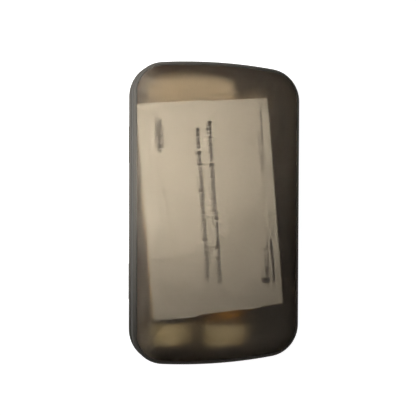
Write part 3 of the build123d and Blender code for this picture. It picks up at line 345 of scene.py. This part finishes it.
SMOKE_COLOUR = (0.32, 0.21, 0.08)  # what the plastic lets through
LID_DENSITY = 60.0
BASE_DENSITY = 1500.0
LID_SIDE = (0.082, 0.076, 0.067)  # the matt sides' own tint
BASE_SIDE = (0.07, 0.065, 0.057)
SIDE_SPECULAR = 0.01
SIDE_VEIL = 0.98  # share of the light that the matt sides scatter back
SIDE_TINT_END = 0.3  # where in its fade the side is fully tinted, so that its veil isn't pale at first
SHEEN = (0.2, 0.17, 0.13)  # tint of what the plastic mirrors
CLEAR = (1.0, 1.0, 1.0)
FROST_TINT = (0.97, 0.85, 0.69)
FROST_VEIL = 0.008  # share of the light that the frosting scatters back
HINGE_SIDE_PAINTED_LIGHT = 0.28  # painted light: more veil along the hinge side, making the frosting lighter there as falling light would
HINGE_LIGHT_FADE = (-51 * MM, -38 * MM)  # where that fades out across the lid
FAR_END_PAINTED_LIGHT = 0.05  # painted light: extra veil towards the far end, making the frosting lighter there as falling light would
FAR_END_LIGHT_FADE = (-20 * MM, 80 * MM)  # where that comes in along the lid
VEIL_PATCH = 16.0  # size of the patches that the frosting's veil varies over
VEIL_SPREAD = (0.75, 1.25)
FROSTED = 0.95  # the roughness of the frosting, the sides and the top
MATT = 0.4
POLISHED = 0.3
BOOKLET_MIDDLE = (-4.8, 4.05)
BOOKLET_TURN = math.radians(5.0)
BOOKLET_SIZE = (88.2, 138.6)
BOOKLET_MARGIN = 0.1  # how far past its edges the lid is still clear


def off_booklet(tree):
    """0 where the lid's frosting lies against the booklet, which clears it, else 1."""
    place = tree.nodes.new("ShaderNodeMapping")
    place.vector_type = "TEXTURE"
    place.inputs["Location"].default_value = (BOOKLET_MIDDLE[0] * MM, BOOKLET_MIDDLE[1] * MM, 0)
    place.inputs["Rotation"].default_value = (0, 0, BOOKLET_TURN)
    join(tree, object_place(tree), place.inputs["Vector"])
    parts = split(tree, place.outputs[0])
    inside = [
        within(tree, parts[axis], 0, size / 2 + BOOKLET_MARGIN)
        for axis, size in zip("XY", BOOKLET_SIZE)
    ]
    return rest_of(tree, product(tree, *inside))


def smoked(name, density, tint):
    """Smoked plastic that darkens with thickness, with the matt sides' tint, gloss and veil."""
    material = plastic(name, tint, MATT, specular=SIDE_SPECULAR, transmission=1 - SIDE_VEIL)
    tree = material.node_tree
    tree.nodes["Principled BSDF"].inputs["Specular Tint"].default_value = (*SHEEN, 1)
    volume = tree.nodes.new("ShaderNodeVolumeAbsorption")
    volume.inputs["Color"].default_value = (*SMOKE_COLOUR, 1)
    volume.inputs["Density"].default_value = density
    join(tree, volume.outputs[0], tree.nodes["Material Output"].inputs["Volume"])
    return material


def painted(tree, name):
    """The value of a mesh attribute."""
    attribute = tree.nodes.new("ShaderNodeAttribute")
    attribute.attribute_name = name
    return attribute.outputs["Fac"]


def smoked_lid():
    """The lid's plastic: matt and dark where the side attribute is 1, frosted where frost is 1, with painted
    light in the frosting's veil towards the hinge side and the far end.
    """
    material = smoked("smoked_lid", LID_DENSITY, LID_SIDE)
    tree = material.node_tree
    shader = tree.nodes["Principled BSDF"]
    side = painted(tree, "side")
    frost = product(tree, painted(tree, "frost"), off_booklet(tree))
    place = split(tree, object_place(tree))
    # painted light: the frosting's veil is heavier towards the hinge side and the far end, standing in for
    # light falling from there
    veil_and_hinge_light = map_range(tree, place["X"], *HINGE_LIGHT_FADE, HINGE_SIDE_PAINTED_LIGHT, FROST_VEIL)
    painted_light_at_far_end = map_range(tree, place["Y"], *FAR_END_LIGHT_FADE, 0, FAR_END_PAINTED_LIGHT)
    patches = span(tree, noise(tree, VEIL_PATCH, 3.0), *VEIL_SPREAD)
    frost_veil_and_painted_light = product(tree, frost, product(tree, total(tree, veil_and_hinge_light, painted_light_at_far_end), patches))
    tint = between(tree, frost, CLEAR, FROST_TINT)
    dark = map_range(tree, side, 0, SIDE_TINT_END, 0, 1)
    join(tree, between(tree, dark, tint, LID_SIDE), shader.inputs["Base Color"])
    gloss = map_range(tree, frost, 0, 1, POLISHED, FROSTED)
    matt = map_range(tree, side, 0, 1, 0, MATT - POLISHED)
    join(tree, total(tree, gloss, matt), shader.inputs["Roughness"])
    veil = total(tree, frost_veil_and_painted_light, map_range(tree, side, 0, 1, 0, SIDE_VEIL))
    join(tree, rest_of(tree, veil), shader.inputs["Transmission Weight"])
    return material


# slot: colour, roughness, metallic, grain in mm, grain's depth in mm, mottling
FINISHES = {
    "pin_steel": ((0.6, 0.6, 0.6), 0.3, 1.0, 0.3, 0.002, 0.03),
    "tray_sheet": ((0.018, 0.0145, 0.0115), 0.5, 0.0, 0.35, 0.02, 0.12),
    "meter_white": ((0.70, 0.63, 0.49), 0.4, 0.0, 0.25, 0.006, 0.03),
    "meter_grey": ((0.35, 0.35, 0.36), 0.5, 0.0, 0.25, 0.01, 0.04),
    "meter_grey_door": ((0.32, 0.32, 0.33), 0.5, 0.0, 0.25, 0.01, 0.04),
    "battery_jacket": ((0.02, 0.02, 0.03), 0.3, 0.0, 1.0, 0.004, 0.05),
    "contact_steel": ((0.7, 0.7, 0.7), 0.3, 1.0, 0.3, 0.002, 0.03),
    "screw_steel": ((0.4, 0.4, 0.4), 0.35, 1.0, 0.3, 0.003, 0.05),
    "frame_black": ((0.02, 0.02, 0.02), 0.5, 0.0, 0.25, 0.008, 0.05),
    "board_green": ((0.01, 0.07, 0.03), 0.4, 0.0, 0.8, 0.01, 0.15),
    "connector_black": ((0.015, 0.015, 0.015), 0.5, 0.0, 0.25, 0.008, 0.05),
    "bezel_cream": ((0.62, 0.57, 0.46), 0.4, 0.0, 0.25, 0.006, 0.03),
    "ejector_cream": ((0.66, 0.61, 0.50), 0.45, 0.0, 0.25, 0.008, 0.03),
    "button_blue": ((0.03, 0.07, 0.17), 0.45, 0.0, 0.3, 0.008, 0.05),
    "button_grey_left": ((0.2, 0.21, 0.22), 0.5, 0.0, 0.3, 0.008, 0.05),
    "button_grey_right": ((0.2, 0.21, 0.22), 0.5, 0.0, 0.3, 0.008, 0.05),
    "pad_rubber": ((0.55, 0.55, 0.52), 0.7, 0.0, 0.4, 0.01, 0.05),
    "lancer_upper": ((0.035, 0.038, 0.045), 0.4, 0.0, 0.3, 0.008, 0.06),
    "lancer_lower": ((0.03, 0.032, 0.038), 0.4, 0.0, 0.3, 0.008, 0.06),
    "dial_white": ((0.6, 0.58, 0.52), 0.45, 0.0, 0.25, 0.006, 0.03),
    "cap_amber": ((0.66, 0.54, 0.38), 0.35, 0.0, 0.25, 0.005, 0.05),
    "sleeve_grey": ((0.15, 0.155, 0.165), 0.5, 0.0, 0.3, 0.01, 0.05),
    "carriage_white": ((0.6, 0.6, 0.58), 0.5, 0.0, 0.3, 0.006, 0.03),
    "trigger_green": ((0.03, 0.16, 0.09), 0.45, 0.0, 0.25, 0.008, 0.05),
    "spring_steel": ((0.6, 0.6, 0.6), 0.3, 1.0, 0.3, 0.002, 0.03),
    "lancet_blue": ((0.04, 0.11, 0.34), 0.4, 0.0, 0.25, 0.006, 0.05),
    "lancets_dark": ((0.06, 0.055, 0.05), 0.4, 0.0, 0.25, 0.006, 0.05),
    "lancet_caps_dark": ((0.10, 0.09, 0.08), 0.45, 0.0, 0.25, 0.006, 0.04),
    "cover_card": ((0.60, 0.51, 0.38), 0.65, 0.0, 0.18, 0.012, 0.035),
    "pages_paper": ((0.8, 0.78, 0.70), 0.9, 0.0, 0.12, 0.02, 0.04),
    "leaflet_paper": ((0.62, 0.53, 0.40), 0.8, 0.0, 0.15, 0.012, 0.03),
    "staple_steel": ((0.6, 0.6, 0.6), 0.3, 1.0, 0.3, 0.002, 0.03),
    "left_vial_body": ((0.03, 0.035, 0.05), 0.4, 0.0, 0.3, 0.006, 0.04),
    # painted light: the left vial's cap is a little lighter than the right one's, making up for the
    # booklet's shade over it
    "left_vial_cap": ((0.95, 0.87, 0.60), 0.45, 0.0, 0.3, 0.008, 0.04),
    "left_vial_liner": ((0.7, 0.7, 0.66), 0.6, 0.0, 0.3, 0.01, 0.05),
    "left_vial_strips": ((0.8, 0.8, 0.78), 0.4, 0.0, 0.3, 0.004, 0.03),
    "right_vial_body": ((0.025, 0.022, 0.018), 0.4, 0.0, 0.3, 0.006, 0.04),
    "right_vial_cap": ((0.92, 0.84, 0.58), 0.45, 0.0, 0.3, 0.008, 0.04),
    "right_vial_liner": ((0.7, 0.7, 0.66), 0.6, 0.0, 0.3, 0.01, 0.05),
    "right_vial_strips": ((0.8, 0.8, 0.78), 0.4, 0.0, 0.3, 0.004, 0.03),
}


def finished(name, colour, roughness, metallic, grain, relief, spread):
    """A material with a moulded grain and a slightly uneven colour, by a line of the table above."""
    material = plastic(name, colour, roughness, metallic)
    mottle(material, spread)
    roughen(material, grain, relief)
    return material


def dress(node, material):
    """Gives a node its material in place of the frame's."""
    mesh = nodes[node].data
    mesh.materials.clear()
    mesh.materials.append(material)


slot_of = {part["node"]: part["material_slot"] for part in frame["record"]["subparts"]}
for node, slot in slot_of.items():
    if slot in FINISHES:
        dress(node, finished(slot, *FINISHES[slot]))


def smoked_dark(name):
    """The base's smoked plastic, nearly black, with a fine moulded grain."""
    material = smoked(name, BASE_DENSITY, BASE_SIDE)
    mottle(material, 0.12)
    roughen(material, 0.4, 0.006, 0.04)
    return material


dress("case_base", smoked_dark("smoked_base"))


def middle_of(node):
    """A node's middle, in millimetres."""
    low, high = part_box(node)
    return [(a + b) / 2 / MM for a, b in zip(low, high)]


LABEL_PAPER = (0.62, 0.62, 0.60)
LABEL_PAPER_PALE = (0.70, 0.70, 0.67)
LABEL_INKS = {"left": (0.03, 0.045, 0.10), "right": (0.50, 0.25, 0.015)}
LABEL_BAND = {"left": 11.0, "right": 26.0}  # length of the coloured band next to the cap
LABEL_RULES = (1.5, 3.0)  # how far the thin rules are from the label's far end
LABEL_RULE_WIDTH = 0.6


def label(side):
    """A printed vial label: a coloured band next to the cap, and thin rules round the rest."""
    node = f"{side}_vial_label"
    low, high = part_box(node)
    start, end = low[1] / MM, high[1] / MM
    ink = LABEL_INKS[side]
    band = LABEL_BAND[side]
    material = plastic(node, LABEL_PAPER, 0.42)
    tree = material.node_tree
    along = split(tree, object_place(tree))["Y"]
    colour = between(tree, span(tree, noise(tree, 6.0, 3.0), 0, 1), LABEL_PAPER, LABEL_PAPER_PALE)
    colour = between(tree, within(tree, along, start + band / 2, band / 2), colour, ink)
    for distance in LABEL_RULES:
        rule = within(tree, along, end - distance, LABEL_RULE_WIDTH / 2)
        colour = between(tree, rule, colour, ink)
    join(tree, colour, tree.nodes["Principled BSDF"].inputs["Base Color"])
    roughen(material, 0.3, 0.003)
    dress(node, material)


for side in LABEL_INKS:
    label(side)

WINDOW_CLEAR = (46.0, 38.0)  # the see-through part of the meter's window
WINDOW_PRINT = (0.012, 0.012, 0.014)
WINDOW_TINT = (0.92, 0.94, 0.93)


def window():
    """The meter's window: printed black round its edge and clear over the display."""
    x, y, _ = middle_of("display_window")
    width, length = WINDOW_CLEAR
    material = plastic("window_clear", WINDOW_PRINT, 0.12)
    tree = material.node_tree
    shader = tree.nodes["Principled BSDF"]
    place = split(tree, object_place(tree))
    clear = product(tree, within(tree, place["X"], x, width / 2), within(tree, place["Y"], y, length / 2))
    join(tree, clear, shader.inputs["Transmission Weight"])
    join(tree, between(tree, clear, WINDOW_PRINT, WINDOW_TINT), shader.inputs["Base Color"])
    dress("display_window", material)


window()

LCD_GLASS = (0.27, 0.31, 0.24)
LCD_GHOST = (0.20, 0.235, 0.185)  # the display's bars while it is off


def display():
    """The display's grey-green glass."""
    material = plastic("lcd_glass", LCD_GLASS, 0.25)
    mottle(material, 0.03)
    dress("lcd_panel", material)


display()


# ================================================================ flat printed shapes
def rounded_rectangle(x, y, width, length, radius, steps=6):
    """A rounded rectangle's corners and arcs about its middle."""
    points = []
    for corner in range(4):
        turn = corner * math.pi / 2
        centre_x = (width / 2 - radius) * (1 if corner in (0, 3) else -1)
        centre_y = (length / 2 - radius) * (1 if corner in (0, 1) else -1)
        for step in range(steps + 1):
            angle = turn + math.pi / 2 * step / steps
            points.append((x + centre_x + radius * math.cos(angle), y + centre_y + radius * math.sin(angle)))
    return points


def plate(shape, bottom, thickness, hole=None):
    """A flat solid of a closed shape, or the frame between it and a hole with as many points."""
    count = len(shape)
    rings = [(shape, bottom), (shape, bottom + thickness)]
    if hole:
        rings += [(hole, bottom + thickness), (hole, bottom)]
    points = [(x, y, z) for ring, z in rings for x, y in ring]
    faces = []
    loops = len(rings)
    pairs = range(loops) if hole else range(loops - 1)
    for ring in pairs:
        low, high = ring * count, (ring + 1) % loops * count
        for i in range(count):
            j = (i + 1) % count
            faces.append((low + i, low + j, high + j, high + i))
    if not hole:
        faces.append(tuple(reversed(range(count))))
        faces.append(tuple(range(count, 2 * count)))
    return points, faces


def merged(plates):
    """Several plates as one list of points and one of faces."""
    points, faces = [], []
    for more_points, more_faces in plates:
        start = len(points)
        points += more_points
        faces += [tuple(start + i for i in face) for face in more_faces]
    return points, faces


SMOOTH_ANGLE = math.radians(35.0)  # edges sharper than this stay sharp


def add_piece(name, points, faces, material, body):
    """A mesh piece from millimetre points, riding on a body."""
    mesh = bpy.data.meshes.new(name)
    mesh.from_pydata([(x * MM, y * MM, z * MM) for x, y, z in points], [], faces)
    mesh.materials.append(material)
    for polygon in mesh.polygons:
        polygon.use_smooth = True
    mesh.set_sharp_from_angle(angle=SMOOTH_ANGLE)
    piece = bpy.data.objects.new(name, mesh)
    scene.collection.objects.link(piece)
    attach(piece, body)
    return piece


# ================================================================ the booklet's print
BOOKLET_TOP = 40.25
PRINT_THICKNESS = 0.03
MARK_LENGTHS = (2.0, 0.9, 2.3, 1.4, 2.1, 0.9, 1.7)  # of the blocks in a word, in turn
MARK_MEAN = sum(MARK_LENGTHS) / len(MARK_LENGTHS)
MARK_GAP = 0.85
MARK_HEIGHT = 2.5
MARK_RISE = 1.1  # how much taller every third block is
MARK_CORNER = 0.3
WORD_GAP = 1.8
INK = (0.050, 0.038, 0.028)
FAINT_INK = (0.33, 0.28, 0.21)
GREY_INK = (0.14, 0.115, 0.085)
# Places on the booklet are from its middle: x across it, y along it, with print reading up in y.
# x, start, drift across for each millimetre along, lengths of the words
PRINTED_LINES = (
    (-6.4, -45.6, 0.008, (17.4, 29.9, 15.7, 14.1, 13.1)),
    (1.7, -50.2, 0.009, (40.0, 37.0, 25.9)),
)
# x, y, width, length, corner radius
PRINTED_BARS = (
    (33.2, -52.0, 6.0, 4.2, 1.2),
    (34.4, -47.9, 3.4, 1.3, 0.3),
    (34.5, -45.6, 3.3, 2.2, 0.4),
    (34.7, -43.3, 3.3, 1.3, 0.3),
    (38.75, -39.6, 1.7, 29.4, 0.3),
    (37.2, 29.6, 1.6, 4.4, 0.7),
)
# x, start, width, lengths, gap
PRINTED_ROWS = (
    (33.6, -41.5, 0.9, (3.0, 4.0, 3.2), 0.6),
    (35.8, -41.5, 0.9, (2.4, 5.2, 6.4), 0.7),
    (38.2, 34.9, 0.8, (3.0, 2.2, 6.0, 4.4, 8.0), 0.6),
    (35.6, 34.9, 0.8, (2.6, 4.4, 3.6), 0.6),
)
# x, y, width, length, corner radius, width of the line
PRINTED_RINGS = (
    (37.2, 29.6, 4.4, 7.9, 0.9, 0.45),
    (37.4, 21.1, 4.3, 4.3, 2.1, 0.6),
)
PATCH = (-30.9, 49.0, 4.7, 22.5, 2.2)  # the faint patch, as a bar
PATCH_ROW = (-30.9, 40.6, 1.5, (9.5, 5.6), 1.4)  # the marks on it, as a row


def on_booklet(points):
    """Turns points from the booklet's own x, y to the case's."""
    middle_x, middle_y = BOOKLET_MIDDLE
    cos, sin = math.cos(BOOKLET_TURN), math.sin(BOOKLET_TURN)
    return [(middle_x + cos * x - sin * y, middle_y + sin * x + cos * y) for x, y in points]


def bar(x, y, width, length, radius=None):
    """A rounded bar printed on the booklet, by its middle."""
    radius = min(width, length) * 0.45 if radius is None else radius
    shape = on_booklet(rounded_rectangle(x, y, width, length, radius))
    return plate(shape, BOOKLET_TOP, PRINT_THICKNESS)


def printed_row(x, start, width, lengths, gap):
    """A row of bars reading up the booklet, one for each word-like length."""
    bars = []
    y = start
    for length in lengths:
        bars.append(bar(x, y + length / 2, width, length))
        y += length + gap
    return bars


def printed_words(x, start, lean, words):
    """A line of plain blocks in word-like groups, standing for print that reads up the booklet.

    lean is how far the line drifts across for each millimetre along it.
    """
    marks = []
    y = start
    turn = 0
    for length in words:
        count = max(1, round(length / (MARK_MEAN + MARK_GAP)))
        lengths = [MARK_LENGTHS[(turn + index) % len(MARK_LENGTHS)] for index in range(count)]
        stretch = (length - MARK_GAP * (count - 1)) / sum(lengths)
        along = y
        for index, mark in enumerate(lengths):
            middle = along + mark * stretch / 2
            tall = MARK_RISE if (turn + index) % 3 == 0 else 0.0
            across = x + lean * (middle - start) - tall / 2
            marks.append(bar(across, middle, MARK_HEIGHT + tall, mark * stretch, MARK_CORNER))
            along += mark * stretch + MARK_GAP
        y += length + WORD_GAP
        turn += count
    return marks


def ring_mark(x, y, width, length, radius, line):
    """A printed outline of a rounded rectangle."""
    outer = on_booklet(rounded_rectangle(x, y, width, length, radius))
    inner = on_booklet(rounded_rectangle(x, y, width - 2 * line, length - 2 * line, radius - line))
    return plate(outer, BOOKLET_TOP, PRINT_THICKNESS, inner)


def add_print():
    """The booklet's print: dark marks, a faint patch and the marks on the patch."""
    dark = []
    for line in PRINTED_LINES:
        dark += printed_words(*line)
    for row in PRINTED_ROWS:
        dark += printed_row(*row)
    dark += [bar(*place) for place in PRINTED_BARS]
    dark += [ring_mark(*place) for place in PRINTED_RINGS]
    points, faces = merged(dark)
    ink = finished("print_ink", INK, 0.55, 0.0, 0.18, 0.006, 0.06)
    add_piece("booklet_print", points, faces, ink, "lid")
    points, faces = bar(*PATCH)
    faint = finished("print_grey", FAINT_INK, 0.6, 0.0, 0.18, 0.006, 0.05)
    add_piece("booklet_print_patch", points, faces, faint, "lid")
    points, faces = merged(printed_row(*PATCH_ROW))
    points = [(x, y, z + PRINT_THICKNESS) for x, y, z in points]
    grey = finished("print_mid", GREY_INK, 0.6, 0.0, 0.18, 0.006, 0.05)
    add_piece("booklet_print_patch_lines", points, faces, grey, "lid")


add_print()

TAB_SIZE = (16.1, 23.3)
TAB_MIDDLE = (-37.7, -0.8)  # on the booklet
TAB_THICKNESS = 0.2
TAB_CORNER = 0.8
TAB_EDGE = 0.35  # width of the cut edge that shows
TAB_SPECK = (-39.3, 0.2, 0.7, 0.7)  # a speck on the film, as a bar
TAB_EDGE_COLOUR = (0.42, 0.345, 0.24)
TAB_FILM_COLOUR = (0.605, 0.517, 0.386)


def add_tab():
    """The clear adhesive square between the booklet and the lid: only its cut edges show."""
    x, y = TAB_MIDDLE
    width, length = TAB_SIZE
    outer = on_booklet(rounded_rectangle(x, y, width, length, TAB_CORNER))
    width, length = width - 2 * TAB_EDGE, length - 2 * TAB_EDGE
    inner = on_booklet(rounded_rectangle(x, y, width, length, TAB_CORNER - TAB_EDGE))
    points, faces = merged([plate(outer, BOOKLET_TOP, TAB_THICKNESS, inner), bar(*TAB_SPECK)])
    edge = finished("tab_edge", TAB_EDGE_COLOUR, 0.4, 0.0, 0.3, 0.004, 0.08)
    add_piece("tab_cut_edge", points, faces, edge, "lid")
    points, faces = plate(inner, BOOKLET_TOP, TAB_THICKNESS / 2)
    film = finished("tab_film", TAB_FILM_COLOUR, 0.5, 0.0, 0.3, 0.003, 0.02)
    tab = add_piece("tab_film", points, faces, film, "lid")
    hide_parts("adhesive_tab")


add_tab()


# ================================================================ the meter's display and button marks
LCD_TOP = 32.2
SEGMENT_DEPTH = 0.02
SEGMENT_GAP = 0.25  # between a bar's end and its digit's corner
# width, height and stroke of a digit, how far apart and how far up the digits are, and their places
LARGE_DIGITS = (10.0, 18.0, 2.0, 14.0, -3.5, (-1, 0, 1))
SMALL_DIGITS = (3.0, 5.0, 0.7, 5.0, 13.0, (-1.6, -0.6, 0.6, 1.6))


def segment(x, y, length, stroke, upright):
    """One bar of a digit, pointed at both ends."""
    half, thick = length / 2 - SEGMENT_GAP, stroke / 2
    shape = [(-half, 0), (-half + thick, -thick), (half - thick, -thick), (half, 0)]
    shape += [(half - thick, thick), (-half + thick, thick)]
    if upright:
        shape = [(-b, a) for a, b in shape]
    return plate([(x + a, y + b) for a, b in shape], LCD_TOP, SEGMENT_DEPTH)


def digit(x, y, width, height, stroke):
    """The seven bars of a digit about its middle."""
    bars = []
    for level in (-1, 0, 1):
        bars.append(segment(x, y + level * height / 2, width, stroke, False))
    for side in (-1, 1):
        for level in (-1, 1):
            bars.append(segment(x + side * width / 2, y + level * height / 4, height / 2, stroke, True))
    return bars


def add_display_digits():
    """The display's unlit bars, just darker than its glass."""
    x, y, _ = middle_of("lcd_panel")
    bars = []
    for width, height, stroke, spacing, rise, places in (LARGE_DIGITS, SMALL_DIGITS):
        for place in places:
            bars += digit(x + place * spacing, y + rise, width, height, stroke)
    points, faces = merged(bars)
    ghost = finished("lcd_ghost", LCD_GHOST, 0.3, 0.0, 0.3, 0.002, 0.03)
    add_piece("display_segments", points, faces, ghost, "base")


add_display_digits()

MARK_DEPTH = 0.08
MARK_SINK = 0.02  # how far the marks reach into the buttons
RING_MARK = (7.0, 5.6)  # its outer and inner width
RING_STEPS = 12
ARROW_SIZE = 2.6
BUTTON_MARK_COLOUR = (0.62, 0.62, 0.60)


def circle(x, y, width):
    """A circle, as a rounded rectangle with hardly any straight sides."""
    return rounded_rectangle(x, y, width, width, width / 2 - 0.01, RING_STEPS)


def arrow(x, y, size, side):
    """A triangle that points towards side, anticlockwise."""
    tip = (x + side * size * 0.6, y)
    back = x - side * size * 0.5
    return [tip, (back, y + side * size * 0.8), (back, y - side * size * 0.8)]


def add_button_marks():
    """Plain marks on the three buttons: a ring on the round one and a triangle on each side one."""
    pale = finished("button_mark", BUTTON_MARK_COLOUR, 0.45, 0.0, 0.25, 0.004, 0.03)
    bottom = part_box("ok_button")[1][2] / MM - MARK_SINK
    x, y, _ = middle_of("ok_button")
    outer, inner = (circle(x, y, width) for width in RING_MARK)
    points, faces = plate(outer, bottom, MARK_DEPTH, inner)
    add_piece("ok_button_mark", points, faces, pale, "ok_key")
    for side, node, body in ((-1, "left_button", "left_key"), (1, "right_button", "right_key")):
        x, y, _ = middle_of(node)
        points, faces = plate(arrow(x, y, ARROW_SIZE, side), bottom, MARK_DEPTH)
        add_piece(node + "_mark", points, faces, pale, body)


add_button_marks()


# ================================================================ the lancing device's spring
SPRING_START = -1.0  # its back end along Y, as in the part's source
SPRING_LENGTH = 8.5
SPRING_RADIUS = 3.5
SPRING_WIRE_RADIUS = 0.3
SPRING_TURNS = 5
SPRING_STEPS = 32  # in a turn
WIRE_STEPS = 10


def add_spring():
    """The drive spring as a coil along Y, with a mesh of its own."""
    x, _, z = middle_of("drive_spring")
    points, faces = [], []
    last = SPRING_TURNS * SPRING_STEPS
    for step in range(last + 1):
        angle = 2 * math.pi * step / SPRING_STEPS
        along = SPRING_START + SPRING_LENGTH * step / last
        for turn in range(WIRE_STEPS):
            around = 2 * math.pi * turn / WIRE_STEPS
            radius = SPRING_RADIUS + SPRING_WIRE_RADIUS * math.cos(around)
            place = along + SPRING_WIRE_RADIUS * math.sin(around)
            points.append((x + radius * math.cos(angle), place, z + radius * math.sin(angle)))
    for step in range(last):
        for turn in range(WIRE_STEPS):
            low, after = step * WIRE_STEPS, (turn + 1) % WIRE_STEPS
            faces.append((low + turn, low + after, low + WIRE_STEPS + after, low + WIRE_STEPS + turn))
    faces.append(tuple(reversed(range(WIRE_STEPS))))
    faces.append(tuple(range(last * WIRE_STEPS, (last + 1) * WIRE_STEPS)))
    steel = nodes["drive_spring"].data.materials[0]
    spring = add_piece("drive_spring_coil", points, faces, steel, "base")
    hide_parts("drive_spring")
    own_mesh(spring)


add_spring()


# ================================================================ the lid, as smooth as it shows
# These sizes are the part's own, and the rings of points are even, so that no facets show in the lid.
CASE_WIDTH = 115.6
CASE_LENGTH = 200.7
END_BOW = 4.9
CORNER_RADIUS = 22.5
RIM_REACH = 1.2
RIM_THICKNESS = 2.4
RIM_EDGE = 0.6
WALL = 1.5
SPLIT_HEIGHT = 28.0
SEAM_GAP = 0.2
LID_BOTTOM = SPLIT_HEIGHT + SEAM_GAP
LID_CEILING = CASE_HEIGHT - WALL
LID_DRAFT = (CASE_HEIGHT - SPLIT_HEIGHT) * math.tan(math.radians(0.5))
LID_EDGE = 3.0
CEILING_EDGE = 0.5
REBATE_INSET = 1.8
REBATE_HEIGHT = 2.3
CORNER_STEPS = 20
END_STEPS = 24
LID_EDGE_STEPS = 10
RIM_EDGE_STEPS = 4
CEILING_EDGE_STEPS = 5
SIDE_FADE = 0.3  # how far down from its top the lid's outside takes to turn to its side tint


def case_outline(inset):
    """The case's outline drawn in by inset, anticlockwise from the middle of the +X side."""
    half_width = CASE_WIDTH / 2 - inset
    half_length = CASE_LENGTH / 2 - inset
    bow = END_BOW * (2 * half_width / CASE_WIDTH) ** 2
    end_radius = (half_width**2 + bow**2) / (2 * bow)
    end_centre = half_length - end_radius
    corner = CORNER_RADIUS - inset
    corner_x = half_width - corner
    corner_y = end_centre + math.sqrt((end_radius - corner) ** 2 - corner_x**2)
    meet = math.atan2(corner_y - end_centre, corner_x)
    quarter = []
    for step in range(CORNER_STEPS + 1):
        angle = meet * step / CORNER_STEPS
        quarter.append((corner_x + corner * math.cos(angle), corner_y + corner * math.sin(angle)))
    for step in range(1, END_STEPS + 1):
        angle = meet + (math.pi / 2 - meet) * step / END_STEPS
        quarter.append((end_radius * math.cos(angle), end_centre + end_radius * math.sin(angle)))
    left = [(-x, y) for x, y in reversed(quarter[:-1])]
    upper = quarter + left
    return upper + [(-x, -y) for x, y in upper]


def arc(centre, radius, start, stop, steps):
    """Points of an arc in a profile, by angles in degrees; 0 points to larger inset."""
    points = []
    for step in range(steps + 1):
        angle = math.radians(start + (stop - start) * step / steps)
        points.append((centre[0] + radius * math.cos(angle), centre[1] + radius * math.sin(angle)))
    return points


def lid_shell(outside, inside):
    """The lid's points, faces, frosting and side tint, from rings at each (inset, height)."""
    rings = outside + inside
    points, frost, side = [], [], []
    top = max(height for _, height in outside)
    for index, (inset, height) in enumerate(rings):
        is_outside = index < len(outside)
        for x, y in case_outline(inset):
            points.append((x, y, height))
            frost.append(0.0 if is_outside else 1.0)
            side.append(min(1.0, (top - height) / SIDE_FADE) if is_outside else 0.0)
    count = len(points) // len(rings)
    faces = [tuple(range(count))]
    for ring in range(len(rings) - 1):
        low = ring * count
        for i in range(count):
            j = (i + 1) % count
            faces.append((low + i, low + count + i, low + count + j, low + j))
    last = (len(rings) - 1) * count
    faces.append(tuple(last + i for i in reversed(range(count))))
    return points, faces, frost, side


def lid_inset(height):
    """How far in the lid's drafted wall is at a height."""
    return RIM_REACH + LID_DRAFT * (height - LID_BOTTOM) / (CASE_HEIGHT - LID_BOTTOM)


def add_lid():
    """The lid's shell, with the attributes that say where it is frosted and where it is dark."""
    edge_height = CASE_HEIGHT - LID_EDGE
    rim_top = LID_BOTTOM + RIM_THICKNESS
    edge_middle = (lid_inset(edge_height) + LID_EDGE, edge_height)
    outside = arc(edge_middle, LID_EDGE, 90, 180, LID_EDGE_STEPS)
    outside.append((RIM_REACH, rim_top))
    outside += arc((RIM_EDGE, rim_top - RIM_EDGE), RIM_EDGE, 90, 180, RIM_EDGE_STEPS)
    outside += [(0, LID_BOTTOM), (REBATE_INSET, LID_BOTTOM)]
    rebate_top = LID_BOTTOM + REBATE_HEIGHT
    inside = [(REBATE_INSET, rebate_top), (RIM_REACH + WALL, rebate_top)]
    ceiling_middle = (RIM_REACH + WALL + LID_DRAFT + CEILING_EDGE, LID_CEILING - CEILING_EDGE)
    inside += arc(ceiling_middle, CEILING_EDGE, 180, 90, CEILING_EDGE_STEPS)
    points, faces, frost, side = lid_shell(outside, inside)
    lid = add_piece("lid_shell", points, faces, smoked_lid(), "lid")
    for attribute, values in (("frost", frost), ("side", side)):
        lid.data.attributes.new(attribute, "FLOAT", "POINT").data.foreach_set("value", values)
    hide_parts("case_lid")


add_lid()

HINGE_X = -55.8
HINGE_Z = 25.7
HINGE_SPACING = 90.0
KNUCKLE_RADIUS = 2.0
KNUCKLE_LENGTH = 9.0
KNUCKLE_BLOCK = 1.7
KNUCKLE_GAP = 0.02  # between the knuckles' blocks and the rim
KNUCKLE_STEPS = 48
PIN_HOLE = 0.85


def knuckle(y):
    """One of the lid's knuckles: a barrel round the pin, joined straight up to the rim."""
    reach = LID_BOTTOM - KNUCKLE_GAP - HINGE_Z
    corner = math.atan2(reach, KNUCKLE_BLOCK)
    round_angles = [2 * math.pi * step / KNUCKLE_STEPS for step in range(KNUCKLE_STEPS)]
    outer, inner = [], []
    for angle in sorted(round_angles + [corner, math.pi - corner]):
        cos, sin = math.cos(angle), math.sin(angle)
        radius = KNUCKLE_RADIUS
        if sin > 0.01:
            block = min(reach / sin, KNUCKLE_BLOCK / max(abs(cos), 1e-6))
            radius = max(radius, block)
        outer.append((HINGE_X + radius * cos, HINGE_Z + radius * sin))
        inner.append((HINGE_X + PIN_HOLE * cos, HINGE_Z + PIN_HOLE * sin))
    points, faces = plate(outer, y - KNUCKLE_LENGTH / 2, KNUCKLE_LENGTH, inner)
    return [(x, along, z) for x, z, along in points], [tuple(reversed(face)) for face in faces]


def add_knuckles():
    """The lid's two knuckles, which the frame has in the lid's own node."""
    points, faces = merged([knuckle(-HINGE_SPACING / 2), knuckle(HINGE_SPACING / 2)])
    material = smoked_dark("smoked_knuckles")
    add_piece("lid_knuckles", points, faces, material, "lid")


add_knuckles()
